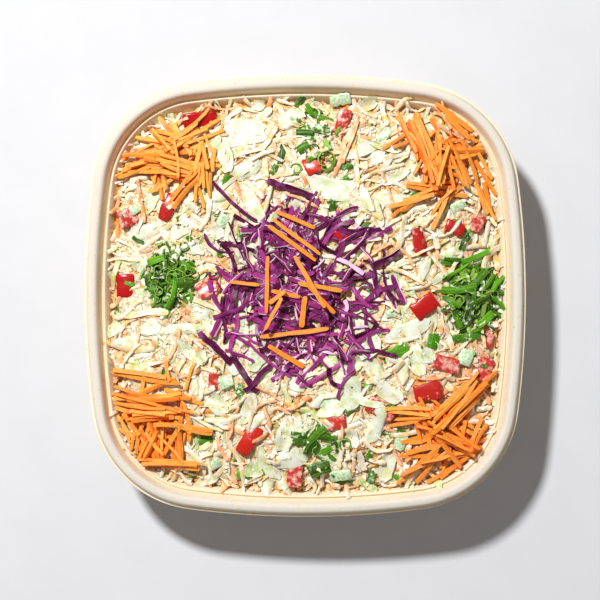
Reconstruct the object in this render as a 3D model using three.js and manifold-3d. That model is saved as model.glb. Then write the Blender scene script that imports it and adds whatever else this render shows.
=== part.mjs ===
// A square catering tray of coleslaw, in millimetres, +Z up, with its origin under the tray's centre.
// A moulded-fibre tray holds a low heap of shredded cabbage. Four piles of carrot sticks lie in its corners, red
// cabbage with some loose carrot sticks in its middle, four piles of cut green onion between them, and diced red
// pepper all over it.
import * as THREE from "three";
import { mergeVertices } from "three/addons/utils/BufferGeometryUtils.js";
import Module from "manifold-3d";

const wasm = await Module();
wasm.setup();

// ---- Driving sizes ----
const TRAY_HALF = 152.5; // half of a 12 inch tray, across its lip
const SIDE_ARC = 616; // radius of each slightly bowed side
const CORNER_ARC = 77; // radius of each corner
const RIM_TOP = 70; // top of the rim's bead above the table
const WALL = 1.4; // thickness of the moulded fibre
const GAP = 0.3; // clearance between pieces that lie against each other
const SLAW_DROP = 16; // how far below the rim the slaw meets the wall
const SLAW_RISE = 14; // how far the heap rises from its edge to its middle
const SLAW_SHOULDER = 60; // how far in from its edge the heap goes on rising
const SLAW_KEEP_IN = 21; // how far in from the lip every shred stays
const SIDE_STEPS = 4; // facets of each bowed side
const CORNER_STEPS = 6; // facets of each corner
const HEAP_STEPS = 16; // facets of the heap's top, along each side

const COLOURS = {
  fibre: "#efe6d3",
  slaw: "#f1f0d8",
  carrot: "#f58b1f",
  redCabbage: "#6f1f74",
  greenOnion: "#3f9130",
  redPepper: "#c9141c",
};
const ROUGHNESS = { fibre: 0.9, slaw: 0.5, carrot: 0.55, redCabbage: 0.4, greenOnion: 0.45, redPepper: 0.3 };

// ---- A seeded random draw, so that each build is the same ----
let seed = 20240611;
function draw(low = 0, high = 1) {
  seed = (seed + 0x6d2b79f5) | 0;
  let t = Math.imul(seed ^ (seed >>> 15), 1 | seed);
  t = (t + Math.imul(t ^ (t >>> 7), 61 | t)) ^ t;
  return low + ((high - low) * ((t ^ (t >>> 14)) >>> 0)) / 4294967296;
}

// ---- The tray's outline: four wide arcs joined by four corner arcs ----
const ARC_BACK = SIDE_ARC - TRAY_HALF; // from the middle back to a side arc's centre
const CORNER_AT = (Math.sqrt(2 * (SIDE_ARC - CORNER_ARC) ** 2 - ARC_BACK ** 2) - ARC_BACK) / 2;
const ARC_END = Math.atan2(CORNER_AT, CORNER_AT + ARC_BACK); // where a side arc hands over to a corner
const QUARTER = Math.PI / 2;
const ORIGIN = new THREE.Vector2();

// The directions of the outline's normals, one for each vertex of a ring.
const DIRECTIONS = [0, 1, 2, 3].flatMap((quarter) => [
  ...Array.from({ length: SIDE_STEPS }, (_, i) => quarter * QUARTER + ARC_END * ((2 * i) / SIDE_STEPS - 1)),
  ...Array.from(
    { length: CORNER_STEPS },
    (_, i) => quarter * QUARTER + ARC_END + ((QUARTER - 2 * ARC_END) * i) / CORNER_STEPS,
  ),
]);

// The outline's point with its normal in that direction, moved in from the lip by an inset.
function outlinePoint(direction, inset) {
  const turns = Math.round(direction / QUARTER) * QUARTER;
  const off = direction - turns;
  const onSide = Math.abs(off) <= ARC_END + 1e-9;
  const reach = (onSide ? SIDE_ARC : CORNER_ARC) - inset;
  const centre = onSide ? [-ARC_BACK, 0] : [CORNER_AT, CORNER_AT * Math.sign(off)];
  return new THREE.Vector2(centre[0] + reach * Math.cos(off), centre[1] + reach * Math.sin(off)).rotateAround(
    ORIGIN,
    turns,
  );
}

// How far a point lies in from the lip.
function insetOf(x, y) {
  const across = Math.abs(x);
  const along = Math.abs(y);
  const fromCorner = Math.atan2(along - CORNER_AT, across - CORNER_AT);
  if (fromCorner > ARC_END && fromCorner < QUARTER - ARC_END) {
    return CORNER_ARC - Math.hypot(across - CORNER_AT, along - CORNER_AT);
  }
  return SIDE_ARC - Math.max(Math.hypot(across + ARC_BACK, along), Math.hypot(across, along + ARC_BACK));
}

// ---- The tray's section, from the lip over the bead and the stacking ledge to the floor: [inset, height] ----
const SECTION = [
  [0, RIM_TOP - 5.4], // edge of the lip
  [2.2, RIM_TOP - 5.7], // groove outside the bead
  [3.1, RIM_TOP - 2.2],
  [4.8, RIM_TOP - 0.4],
  [6.7, RIM_TOP], // crown of the bead
  [8.5, RIM_TOP - 0.9],
  [9.9, RIM_TOP - 3.3],
  [12.2, RIM_TOP - 8.0], // crease under the bead
  [14.0, RIM_TOP - 8.2], // stacking ledge
  [15.3, RIM_TOP - 10.0], // head of the wall
  [38.0, 5.2], // foot of the wall
  [40.6, 2.4],
  [44.5, WALL], // edge of the floor
].map(([inset, z]) => new THREE.Vector2(inset, z));
const WALL_HEAD = 9; // index of the wall's head in the section
const FLOOR_INSET = SECTION.at(-1).x;

// The section moved square to itself, down and out when the distance is positive.
function offsetSection(section, distance) {
  return section.map((point, i) => {
    if (i === 0 || i === section.length - 1) return new THREE.Vector2(point.x, point.y - distance);
    const along = section[i + 1].clone().sub(section[i - 1]).normalize();
    return point.clone().add(new THREE.Vector2(along.y, -along.x).multiplyScalar(distance));
  });
}

// The height of the tray's upper face at an inset, and the inset of its wall at a height.
function trayTop(inset) {
  const next = SECTION.findIndex((point) => point.x >= inset);
  if (next < 1) return next === 0 ? SECTION[0].y : WALL;
  const [from, to] = [SECTION[next - 1], SECTION[next]];
  return THREE.MathUtils.mapLinear(inset, from.x, to.x, from.y, to.y);
}
function wallInset(z) {
  const [head, foot] = [SECTION[WALL_HEAD], SECTION[WALL_HEAD + 1]];
  return THREE.MathUtils.mapLinear(z, head.y, foot.y, head.x, foot.x);
}

// ---- The heap's bare surface: a low dome with soft lumps ----
const SLAW_EDGE_Z = RIM_TOP - SLAW_DROP;
const SLAW_EDGE_INSET = wallInset(SLAW_EDGE_Z);

function heapTop(x, y) {
  const inward = THREE.MathUtils.clamp((insetOf(x, y) - SLAW_EDGE_INSET) / SLAW_SHOULDER, 0, 1);
  const dome = SLAW_RISE * (1 - (1 - inward) ** 2);
  const lumps = Math.sin(x / 13 + 1) * Math.cos(y / 15) + 0.7 * Math.sin((x + y) / 9) * Math.sin((x - y) / 11);
  return SLAW_EDGE_Z + dome + 1.3 * lumps * inward;
}

// ---- Shapes ----
// A closed three.js geometry as a solid that can be joined and cut.
function solidOf(geometry) {
  geometry.deleteAttribute("normal");
  geometry.deleteAttribute("uv");
  const merged = mergeVertices(geometry, 1e-3);
  const triVerts = [];
  for (let f = 0; f < merged.index.count; f += 3) {
    const corners = [0, 1, 2].map((i) => merged.index.getX(f + i));
    if (new Set(corners).size === 3) triVerts.push(...corners);
  }
  return new wasm.Manifold(
    new wasm.Mesh({
      numProp: 3,
      vertProperties: new Float32Array(merged.getAttribute("position").array),
      triVerts: new Uint32Array(triVerts),
    }),
  );
}

// A closed body of rings round the outline. A station's share shrinks its ring towards the middle.
function ringedBody(stations) {
  const guide = stations.map((_, i) => new THREE.Vector2(i === 0 || i === stations.length - 1 ? 0 : 1, i));
  const geometry = new THREE.LatheGeometry(guide, DIRECTIONS.length);
  const place = geometry.getAttribute("position");
  for (let v = 0; v < place.count; v++) {
    const { inset, z, share = 1 } = stations[v % stations.length];
    const direction = DIRECTIONS[Math.floor(v / stations.length) % DIRECTIONS.length];
    const flat = outlinePoint(direction, inset).multiplyScalar(share);
    place.setXYZ(v, flat.x, flat.y, z);
  }
  return solidOf(geometry);
}

// A box bent along a path, its width level across the path unless rolled, its two ends narrowed to a share.
function strip(path, { width, thick, roll = 0, ends = 1 }) {
  const steps = path.length - 1;
  const geometry = new THREE.BoxGeometry(1, 1, 1, steps, 1, 1);
  const place = geometry.getAttribute("position");
  for (let v = 0; v < place.count; v++) {
    const i = Math.round((place.getX(v) + 0.5) * steps);
    const along = path[Math.min(i + 1, steps)].clone().sub(path[Math.max(i - 1, 0)]).normalize();
    const side = new THREE.Vector3(-along.y, along.x, 0).normalize().applyAxisAngle(along, roll);
    const up = new THREE.Vector3().crossVectors(along, side);
    const narrow = i === 0 || i === steps ? ends : 1;
    const point = path[i]
      .clone()
      .addScaledVector(side, place.getY(v) * width * narrow)
      .addScaledVector(up, place.getZ(v) * thick * narrow);
    place.setXYZ(v, point.x, point.y, point.z);
  }
  return solidOf(geometry);
}

// The strip grown by the gap on every side.
function grownStrip(path, part) {
  const [first, last] = [path[0].clone(), path.at(-1).clone()];
  first.add(first.clone().sub(path[1]).setLength(GAP));
  last.add(last.clone().sub(path.at(-2)).setLength(GAP));
  const longer = [first, ...path.slice(1, -1), last];
  return strip(longer, { ...part, width: part.width + 2 * GAP, thick: part.thick + 2 * GAP, ends: 1 });
}

// The solid's largest body: what a cut has left loose is dropped.
function mainBody(solid) {
  return solid.decompose().sort((a, b) => b.volume() - a.volume())[0];
}

// ---- The surface that pieces are laid on, one after another, as a grid of heights ----
const LAP = 0.9; // how far a piece sinks into what it is fused to
const CLEAR = LAP + 2 * GAP; // how far such a piece is held off what it isn't fused to
const TRAY_REACH = 1.6; // half the width of a stick, which meets the tray's slope before its middle does
const CELL = 1.5;
const SPAN = Math.ceil(TRAY_HALF / CELL);
const ROW = 2 * SPAN + 1;
const indexOf = (value) => THREE.MathUtils.clamp(Math.round(value / CELL) + SPAN, 0, ROW - 1);
const cellAt = (x, y) => indexOf(y) * ROW + indexOf(x);
const heights = Float32Array.from({ length: ROW * ROW }, (_, cell) => {
  const x = ((cell % ROW) - SPAN) * CELL;
  const y = (Math.floor(cell / ROW) - SPAN) * CELL;
  const inset = insetOf(x, y);
  return inset > SLAW_EDGE_INSET ? heapTop(x, y) : trayTop(Math.max(inset - TRAY_REACH, 0)) + CLEAR;
});

// Raises the surface to the top of a strip.
function cover(path, { width, thick }) {
  for (let i = 0; i < path.length - 1; i++) {
    const along = path[i + 1].clone().sub(path[i]);
    const count = Math.ceil(along.length() / CELL);
    const side = new THREE.Vector2(-along.y, along.x).normalize();
    for (let step = 0; step <= count; step++) {
      const point = path[i].clone().addScaledVector(along, step / count);
      for (let across = -width / 2; across <= width / 2; across += CELL / 2) {
        const cell = cellAt(point.x + side.x * across, point.y + side.y * across);
        heights[cell] = Math.max(heights[cell], point.z + thick / 2);
      }
    }
  }
}

// ---- How a piece comes to rest on that surface ----
const FEELERS = 14; // places along a piece where the surface is felt
const STEEPEST = 0.1; // slope that no stick passes
const LIMP_ARCH = 0.02; // how sharply a limp shred bends over what it lies on, per millimetre

function feel(x, y, heading, length) {
  return Array.from({ length: FEELERS + 1 }, (_, i) => {
    const s = length * (i / FEELERS - 0.5);
    const cell = cellAt(x + s * Math.cos(heading), y + s * Math.sin(heading));
    return { s, z: heights[cell] };
  });
}

// A stick's underside: the line over two high places on either side of its middle, as high as any such line.
function stiffUnderside(felt) {
  let best = { middle: -Infinity };
  for (const left of felt.filter((p) => p.s <= 0)) {
    for (const right of felt.filter((p) => p.s > 0)) {
      const tilt = (right.z - left.z) / (right.s - left.s);
      const middle = left.z - tilt * left.s;
      if (middle > best.middle) best = { middle, tilt: THREE.MathUtils.clamp(tilt, -STEEPEST, STEEPEST) };
    }
  }
  const level = Math.max(...felt.map((p) => p.z - best.tilt * p.s));
  return (s) => level + best.tilt * s;
}

// A shred's underside: it sags between the high places.
function limpUnderside(felt) {
  return (s) => Math.max(...felt.map((p) => p.z - LIMP_ARCH * (s - p.s) ** 2));
}

// The middle line of a piece laid at x, y with a heading, bowed sideways.
function layPath({ x, y, heading, length, thick, bow = 0, steps = 1, limp = false, sink = 0 }) {
  const felt = feel(x, y, heading, length);
  const underside = limp ? limpUnderside(felt) : stiffUnderside(felt);
  return Array.from({ length: steps + 1 }, (_, i) => {
    const s = length * (i / steps - 0.5);
    const off = bow * (1 - ((2 * s) / length) ** 2);
    return new THREE.Vector3(
      x + s * Math.cos(heading) - off * Math.sin(heading),
      y + s * Math.sin(heading) + off * Math.cos(heading),
      underside(s) + thick / 2 - sink,
    );
  });
}

// ---- Nodes, each kept clear of those before it ----
const group = new THREE.Group();
const placed = [];

function addNode(name, solid, material, keepOut = solid) {
  const mesh = solid.getMesh();
  const geometry = new THREE.BufferGeometry();
  geometry.setAttribute("position", new THREE.BufferAttribute(new Float32Array(mesh.vertProperties), 3));
  geometry.setIndex(new THREE.BufferAttribute(new Uint32Array(mesh.triVerts), 1));
  const look = { color: COLOURS[material], roughness: ROUGHNESS[material], metalness: 0, flatShading: true };
  const node = new THREE.Mesh(geometry, new THREE.MeshStandardMaterial(look));
  node.name = name;
  group.add(node);
  placed.push(keepOut);
}

function crosses(path, part, others = placed) {
  const grown = grownStrip(path, part);
  return others.some((solid) => grown.intersect(solid).volume() > 0);
}

const numbered = (name, i) => `${name}_${String(i + 1).padStart(2, "0")}`;

// ---- The tray ----
function makeTray() {
  const stations = (section) => section.map((point) => ({ inset: point.x, z: point.y }));
  const tray = ringedBody([
    { inset: FLOOR_INSET, share: 0, z: 0 },
    ...stations(offsetSection(SECTION, WALL)).reverse(),
    ...stations(SECTION),
    { inset: FLOOR_INSET, share: 0, z: WALL },
  ]);
  addNode("tray", tray, "fibre");
}

// ---- The slaw's core, raised by a lift: what fills the tray, cut off along the heap's top ----
function slawCore(lift) {
  const wall = offsetSection(SECTION, -GAP).slice(WALL_HEAD);
  const fill = ringedBody([
    { inset: FLOOR_INSET, share: 0, z: WALL + GAP },
    ...wall.reverse().map((point) => ({ inset: point.x, z: point.y })),
    { inset: wall.at(-1).x, share: 0, z: SECTION[WALL_HEAD].y + 2 * SLAW_RISE },
  ]);
  const slab = new THREE.BoxGeometry(2 * TRAY_HALF, 2 * TRAY_HALF, 2, HEAP_STEPS, HEAP_STEPS, 1);
  const place = slab.getAttribute("position");
  for (let v = 0; v < place.count; v++) {
    const [x, y, end] = [place.getX(v), place.getY(v), place.getZ(v)];
    place.setZ(v, end > 0 ? heapTop(x, y) + lift : 0);
  }
  return fill.intersect(solidOf(slab));
}

const slawKeepOut = slawCore(GAP); // what lies on the slaw is cut to this

// ---- Red pepper, in bent dice sunk in the slaw: [x, y, length, width, heading in degrees, depth if deeper] ----
const PEPPER_THICK = 5.5;
const PEPPER_SINK = 1.5;
const PEPPERS = [
  [-73, 122, 22, 10, 6],
  [-94, 61, 18, 8, 65],
  [-124, 7, 15, 12.5, 94],
  [-67, 5, 14, 12, 30],
  [-122, 54, 13, 12, 20],
  [6, 90, 13, 12, 25],
  [78, 37, 20, 8, 98],
  [103, 47, 12, 8, -20],
  [119, 50, 11, 8, 70],
  [82, -7, 17, 12, 35],
  [24, 40, 10, 8, -30],
  [-63, -58, 14, 7, 88],
  [-38, -99, 20, 10, 58],
  [-7, -124.5, 14, 10, 85],
  [21, -86, 12, 11, 10],
  [97, -47, 18, 10, -12],
  [123, -51, 16, 12, 80],
  [126, -31, 10, 8, 75],
  [84, -66, 18, 12, 12],
  [52, -78, 20, 11, -28],
  [26, 120, 17, 9, 75],
  [84, 91, 14, 12, 40, 3.6],
];

function makePeppers() {
  PEPPERS.forEach(([x, y, length, width, degrees, sink = PEPPER_SINK], i) => {
    const heading = THREE.MathUtils.degToRad(degrees);
    const part = { x, y, heading, length, width, thick: PEPPER_THICK, steps: 2, ends: 0.9, sink };
    part.roll = draw(-0.15, 0.15);
    const path = layPath(part);
    path[1].z += draw(0.4, 1.2);
    const keepOut = grownStrip(path, part);
    addNode(numbered("red_pepper", i), mainBody(strip(path, part).subtract(slawKeepOut)), "redPepper", keepOut);
    cover(path, { width: width + 2 * CLEAR, thick: PEPPER_THICK + 2 * CLEAR });
  });
}

// ---- Piles: a low mound of one food, with the pieces that show laid on it and fused ----
const MOUND_SUNK = 3; // how far a mound reaches down into the slaw's surface before it is cut to it
const MOUND_SIDES = 10;

function makePile({ name, material, x, y, across, along, mound }, pieces) {
  const base = heapTop(x, y) - MOUND_SUNK;
  const dome = new THREE.SphereGeometry(1 / Math.cos(Math.PI / MOUND_SIDES), MOUND_SIDES, MOUND_SIDES / 2);
  dome.rotateX(QUARTER);
  dome.scale(across / 2, along / 2, mound + MOUND_SUNK);
  dome.translate(x, y, base);
  let pile = solidOf(dome);
  for (const solid of placed) pile = pile.subtract(solid);
  for (let cx = x - across / 2; cx <= x + across / 2; cx += CELL) {
    for (let cy = y - along / 2; cy <= y + along / 2; cy += CELL) {
      const out = Math.hypot((cx - x) / (across / 2), (cy - y) / (along / 2));
      const top = out < 1 ? base + (mound + MOUND_SUNK) * Math.sqrt(1 - out * out) : 0;
      heights[cellAt(cx, cy)] = Math.max(heights[cellAt(cx, cy)], top);
    }
  }
  const strips = [];
  for (const piece of pieces) {
    const path = layPath({ ...piece, sink: LAP });
    if (crosses(path, piece)) continue;
    strips.push(strip(path, piece));
    cover(path, piece);
  }
  addNode(name, mainBody(wasm.Manifold.union([pile, ...strips]).subtract(slawKeepOut)), material);
}

// Places in an ellipse, spread evenly from its middle outwards.
const GOLDEN_TURN = Math.PI * (3 - Math.sqrt(5));
function placesIn({ x, y, across, along }, count) {
  return Array.from({ length: count }, (_, i) => {
    const out = Math.sqrt((i + 0.5) / count);
    return {
      x: x + (across / 2) * out * Math.cos(i * GOLDEN_TURN),
      y: y + (along / 2) * out * Math.sin(i * GOLDEN_TURN),
    };
  });
}

// ---- Carrot sticks from a julienne cutter, in bundles of nearly one heading ----
// Each pile is [name, x, y, bundles], and each bundle [x, y, across, along, heading in degrees, fan, sticks, length].
const CARROT_SIDE = 2.9;
const CARROT_MOUND = { across: 50, along: 46, mound: 5 };
const CARROT_PILES = [
  [
    "carrot_pile_nw",
    -86,
    95,
    [
      [-108, 96, 12, 14, 8, 8, 3, 36],
      [-84, 86, 14, 8, -12, 6, 2, 32],
      [-70, 78, 8, 6, 92, 8, 2, 26],
      [-66, 94, 8, 6, 97, 8, 2, 28],
      [-92, 110, 10, 8, -35, 10, 2, 24],
      [-76, 113, 8, 8, 27, 6, 2, 32],
      [-86, 90, 2, 2, -84, 2, 1, 28],
    ],
  ],
  [
    "carrot_pile_ne",
    90,
    96,
    [
      [112, 106, 12, 10, 10, 8, 2, 28],
      [92, 74, 12, 4, -2, 4, 1, 34],
      [76, 66, 6, 4, 21, 6, 2, 30],
      [96, 66, 8, 6, 50, 8, 1, 28],
      [74, 110, 6, 6, 105, 6, 2, 35],
      [83, 98, 6, 6, 115, 5, 2, 46],
      [108, 92, 8, 6, 118, 8, 2, 30],
      [93, 90, 8, 8, 88, 10, 1, 24],
    ],
  ],
  [
    "carrot_pile_sw",
    -101,
    -86,
    [
      [-103, -101, 26, 8, 100, 22, 5, 27],
      [-108, -74, 18, 12, -5, 8, 4, 38],
      [-79, -90, 2, 2, -13, 2, 1, 32],
      [-96, -116, 4, 2, -2, 2, 1, 36],
      [-90, -52, 16, 4, 100, 8, 2, 21],
      [-110, -58, 2, 2, -7, 2, 1, 44],
    ],
  ],
  [
    "carrot_pile_se",
    91,
    -92,
    [
      [78, -107, 8, 3, 4, 4, 1, 28],
      [85, -117, 6, 4, 37, 6, 2, 32],
      [74, -84, 10, 4, 8, 5, 1, 30],
      [102, -113, 8, 4, 21, 4, 1, 26],
      [105, -104, 8, 6, -36, 7, 3, 40],
      [114, -92, 4, 4, 60, 4, 1, 26],
      [68, -79, 2, 2, -5, 2, 1, 36],
      [106, -74, 12, 8, 45, 5, 4, 44],
    ],
  ],
];

function makeCarrotPiles() {
  for (const [name, x, y, bundles] of CARROT_PILES) {
    const sticks = bundles.flatMap(([bx, by, across, along, degrees, fan, count, length]) =>
      placesIn({ x: bx, y: by, across, along }, count).map((place) => ({
        ...place,
        heading: THREE.MathUtils.degToRad(degrees + draw(-fan, fan)),
        length: length * draw(0.92, 1.08),
        width: CARROT_SIDE,
        thick: CARROT_SIDE,
      })),
    );
    makePile({ name, material: "carrot", x, y, ...CARROT_MOUND }, sticks);
  }
}

// ---- Red cabbage: thin curled shreds, tangled in every direction ----
const RED_CABBAGE = { x: -3, y: 3, across: 104, along: 108 };
const RED_SHREDS = 27;

function makeRedCabbage() {
  const shreds = placesIn(RED_CABBAGE, RED_SHREDS).map((place) => ({
    ...place,
    heading: draw(0, Math.PI),
    length: draw(22, 38),
    width: draw(3, 4.2),
    thick: 1.7,
    bow: draw(-5, 5),
    steps: 3,
    limp: true,
    roll: draw(-0.5, 0.5),
    ends: 0.7,
  }));
  const mound = { name: "red_cabbage", material: "redCabbage", x: -3, y: 3, across: 74, along: 76, mound: 5 };
  makePile(mound, shreds);
}

// ---- Green onion, cut across into short lengths: [pile, x, y, across, along, pieces] ----
const GREEN_PILES = [
  ["green_onion_w", -94, 14, 36, 40, 9],
  ["green_onion_e", 113, 1, 36, 44, 9],
  ["green_onion_n", 8, 118, 22, 30, 5],
  ["green_onion_s", 12, -105, 24, 32, 5],
];
const GREEN_MOUND_SHARE = 0.75; // how much of the pile's width its mound takes

function makeGreenPiles() {
  for (const [name, x, y, across, along, count] of GREEN_PILES) {
    const pieces = placesIn({ x, y, across: across * 0.8, along: along * 0.8 }, count).map((place) => ({
      ...place,
      heading: draw(0, Math.PI),
      length: draw(9, 16),
      width: draw(4.5, 7),
      thick: 2.2,
      bow: draw(-1.5, 1.5),
      steps: 2,
      limp: true,
      roll: draw(-0.5, 0.5),
      ends: 0.75,
    }));
    const mound = { across: across * GREEN_MOUND_SHARE, along: along * GREEN_MOUND_SHARE, mound: 3.5 };
    makePile({ name, material: "greenOnion", x, y, ...mound }, pieces);
  }
}

// ---- Loose carrot sticks, each from one end to the other: [x, y, x, y] ----
// The first two lie on the tray's ledge, and the others on the red cabbage, lowest first.
const LOOSE_CARROTS = [
  [90, 132.5, 115.5, 113.5],
  [96, 124.5, 113, 107.5],
  [-51.6, 9.7, -30.9, 7.3],
  [-25.6, 27.1, -26.6, -12],
  [-4.4, 8.8, 25.1, 3.4],
  [-23.2, 3.4, -3.4, -0.9],
  [-24.6, -5.2, -13.5, 3.4],
  [0.9, 8.2, 20.2, -12],
  [-7.3, 27.1, 13.4, -8.1],
  [-27.5, -23.1, -15.9, -1.4],
  [0, -0.4, -2.4, -21.7],
  [-30.9, -28.3, 15.9, -22.6],
  [-25.1, -34.2, -0.5, -49.1],
  [-25, 47.8, 7.3, 24.1],
  [-22.2, 52.4, 10.5, 28.4],
  [-20, 58, 7, 46.5],
];
const LIFT_STEP = 0.2; // how far a stick is raised at a time until it is clear

function makeLooseCarrots() {
  LOOSE_CARROTS.forEach(([x0, y0, x1, y1], i) => {
    const part = {
      x: (x0 + x1) / 2,
      y: (y0 + y1) / 2,
      heading: Math.atan2(y1 - y0, x1 - x0),
      length: Math.hypot(x1 - x0, y1 - y0),
      width: CARROT_SIDE,
      thick: CARROT_SIDE,
      steps: 2,
      ends: 0.75,
    };
    const path = layPath(part);
    while (crosses(path, part, [slawKeepOut, ...placed])) path.forEach((point) => (point.z += LIFT_STEP));
    addNode(numbered("loose_carrot", i), strip(path, part), "carrot");
    cover(path, part);
  });
}

// ---- The slaw: its core, with the cabbage shreds, leaf pieces and cut onion that show fused on ----
const SHREDS = 58;
const PLASTIC_NUMBER = 1.32471795724; // its powers place each next shred in the widest gap that is left

function slawPiece(kind) {
  if (kind < 0.16) return { length: draw(15, 26), width: draw(8, 13), thick: 1.8, steps: 2, ends: 0.7 };
  if (kind < 0.24) return { length: draw(8, 12), width: draw(4.5, 6.5), thick: 2.2, steps: 1, ends: 0.8 };
  return { length: draw(20, 40), width: draw(3.2, 4.6), thick: 1.9, steps: 2, ends: 0.75 };
}

function makeSlaw() {
  const side = 2 * (TRAY_HALF - SLAW_KEEP_IN);
  const shreds = [];
  for (let n = 1; shreds.length < SHREDS; n++) {
    const x = side * (((n / PLASTIC_NUMBER) % 1) - 0.5);
    const y = side * (((n / PLASTIC_NUMBER ** 2) % 1) - 0.5);
    const part = { ...slawPiece(draw()), x, y, heading: draw(0, Math.PI), bow: draw(-3, 3), limp: true };
    part.roll = draw(-0.35, 0.35);
    const path = layPath({ ...part, sink: LAP });
    if (path.some((point) => insetOf(point.x, point.y) < SLAW_KEEP_IN + part.width / 2)) continue;
    if (crosses(path, part)) continue;
    shreds.push(strip(path, part));
    cover(path, part);
  }
  addNode("slaw", mainBody(wasm.Manifold.union([slawCore(0), ...shreds])), "slaw");
}

makeTray();
makePeppers();
makeGreenPiles();
makeRedCabbage();
makeCarrotPiles();
makeLooseCarrots();
makeSlaw();

export default group;
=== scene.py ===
"""The finish of a square fibre tray of coleslaw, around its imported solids. Sizes are in millimetres."""
import math

import bpy
import numpy as np
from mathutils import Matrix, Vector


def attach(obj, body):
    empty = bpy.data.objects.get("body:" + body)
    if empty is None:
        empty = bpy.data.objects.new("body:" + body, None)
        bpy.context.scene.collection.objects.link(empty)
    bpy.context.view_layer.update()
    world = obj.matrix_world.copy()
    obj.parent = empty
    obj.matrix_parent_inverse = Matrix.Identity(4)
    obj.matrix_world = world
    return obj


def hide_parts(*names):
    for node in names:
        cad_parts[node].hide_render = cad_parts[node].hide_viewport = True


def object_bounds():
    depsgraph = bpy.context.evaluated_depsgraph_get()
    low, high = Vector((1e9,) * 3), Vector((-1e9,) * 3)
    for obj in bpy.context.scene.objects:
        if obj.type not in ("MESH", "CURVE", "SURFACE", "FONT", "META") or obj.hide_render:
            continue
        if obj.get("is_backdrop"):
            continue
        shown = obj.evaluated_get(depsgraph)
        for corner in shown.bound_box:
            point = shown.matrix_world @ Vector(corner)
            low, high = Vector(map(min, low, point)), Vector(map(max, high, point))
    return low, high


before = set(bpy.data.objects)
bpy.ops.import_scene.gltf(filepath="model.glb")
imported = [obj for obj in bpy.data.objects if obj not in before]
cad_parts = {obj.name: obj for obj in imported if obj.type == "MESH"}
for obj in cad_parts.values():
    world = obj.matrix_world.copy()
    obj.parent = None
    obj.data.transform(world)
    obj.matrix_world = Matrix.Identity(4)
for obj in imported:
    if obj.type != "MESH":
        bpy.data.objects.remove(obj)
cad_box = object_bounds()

MM = 0.001  # metres in a millimetre

# ---- The tray ----
# One skin of bagasse pulp, drawn onto a wire screen and dried in a hot press. Its four sides are slightly
# bowed and meet in round corners, and its lip is rolled into a bead with a stacking ledge inside it.
TRAY_HALF = 152.5
SIDE_ARC = 616.0
CORNER_ARC = 77.0
RIM_TOP = 70.0
SKIN = 1.4
ARC_BACK = SIDE_ARC - TRAY_HALF
CORNER_AT = (math.sqrt(2 * (SIDE_ARC - CORNER_ARC) ** 2 - ARC_BACK**2) - ARC_BACK) / 2
ARC_END = math.atan2(CORNER_AT, CORNER_AT + ARC_BACK)
QUARTER = math.pi / 2
# From the lip over the bead, the crease and the ledge to the wall: (inset, depth below the rim's top).
RIM_LINE = [
    (0.3, 5.4), (1.9, 5.8), (2.3, 2.4), (3.5, 0.6), (5.2, 0.1), (7.2, 0.0), (8.8, 0.9), (10.1, 3.6),
    (11.5, 9.2), (12.4, 10.7), (13.0, 8.6), (13.9, 8.3), (15.0, 10.0), (16.9, 13.9)]
# On down the wall to the floor: (inset, height).
FLOOR_LINE = [(36.6, 8.6), (38.0, 5.2), (40.6, 2.4), (44.5, SKIN)]
SECTION = np.array([(inset, RIM_TOP - down) for inset, down in RIM_LINE] + FLOOR_LINE)
WALL = SECTION[12:16]
FOOT_RING = [(52.0, 0.0), (54.5, 0.8)]  # the base stands on a ring, and is pressed up inside it
LIP_WAVES = [(0.22, 5, 1), (0.16, 13, 0), (0.08, 29, 0)]  # height, waves in a turn, start
LIP_WAVES_END = 12  # how far in from the lip they fade out
SIDE_STEPS = 32
CORNER_STEPS = 28


def outline(direction, inset):
    """The points of the tray's outline whose normals have those directions, moved in from the lip."""
    turn = np.round(direction / QUARTER) * QUARTER
    off = direction - turn
    on_side = np.abs(off) <= ARC_END
    reach = np.where(on_side, SIDE_ARC, CORNER_ARC) - inset
    x = np.where(on_side, -ARC_BACK, CORNER_AT) + reach * np.cos(off)
    y = np.where(on_side, 0.0, CORNER_AT * np.sign(off)) + reach * np.sin(off)
    return x * np.cos(turn) - y * np.sin(turn), x * np.sin(turn) + y * np.cos(turn)


def inset_of(x, y):
    """How far a place lies in from the lip."""
    across, along = np.abs(x), np.abs(y)
    turn = np.arctan2(along - CORNER_AT, across - CORNER_AT)
    in_corner = (turn > ARC_END) & (turn < QUARTER - ARC_END)
    from_side = SIDE_ARC - np.maximum(np.hypot(across + ARC_BACK, along), np.hypot(across, along + ARC_BACK))
    return np.where(in_corner, CORNER_ARC - np.hypot(across - CORNER_AT, along - CORNER_AT), from_side)


def rounded(points, rounds):
    """An angled line with its corners cut off a few times."""
    for _ in range(rounds):
        cuts = [points[:-1] * 0.75 + points[1:] * 0.25, points[:-1] * 0.25 + points[1:] * 0.75]
        points = np.vstack([points[:1], np.stack(cuts, 1).reshape(-1, 2)[1:-1], points[-1:]])
    return points


def ring_faces(rings, around):
    """Quads between rings of points that are stored one ring after another, closed at both ends."""
    faces = []
    first, last = rings * around, rings * around + 1
    for here in range(0, (rings - 1) * around, around):
        for step in range(around):
            after = (step + 1) % around
            faces.append((here + step, here + after, here + around + after, here + around + step))
    for step in range(around):
        after = (step + 1) % around
        faces.append((first, after, step))
        faces.append((last, (rings - 1) * around + step, (rings - 1) * around + after))
    return faces


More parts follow.
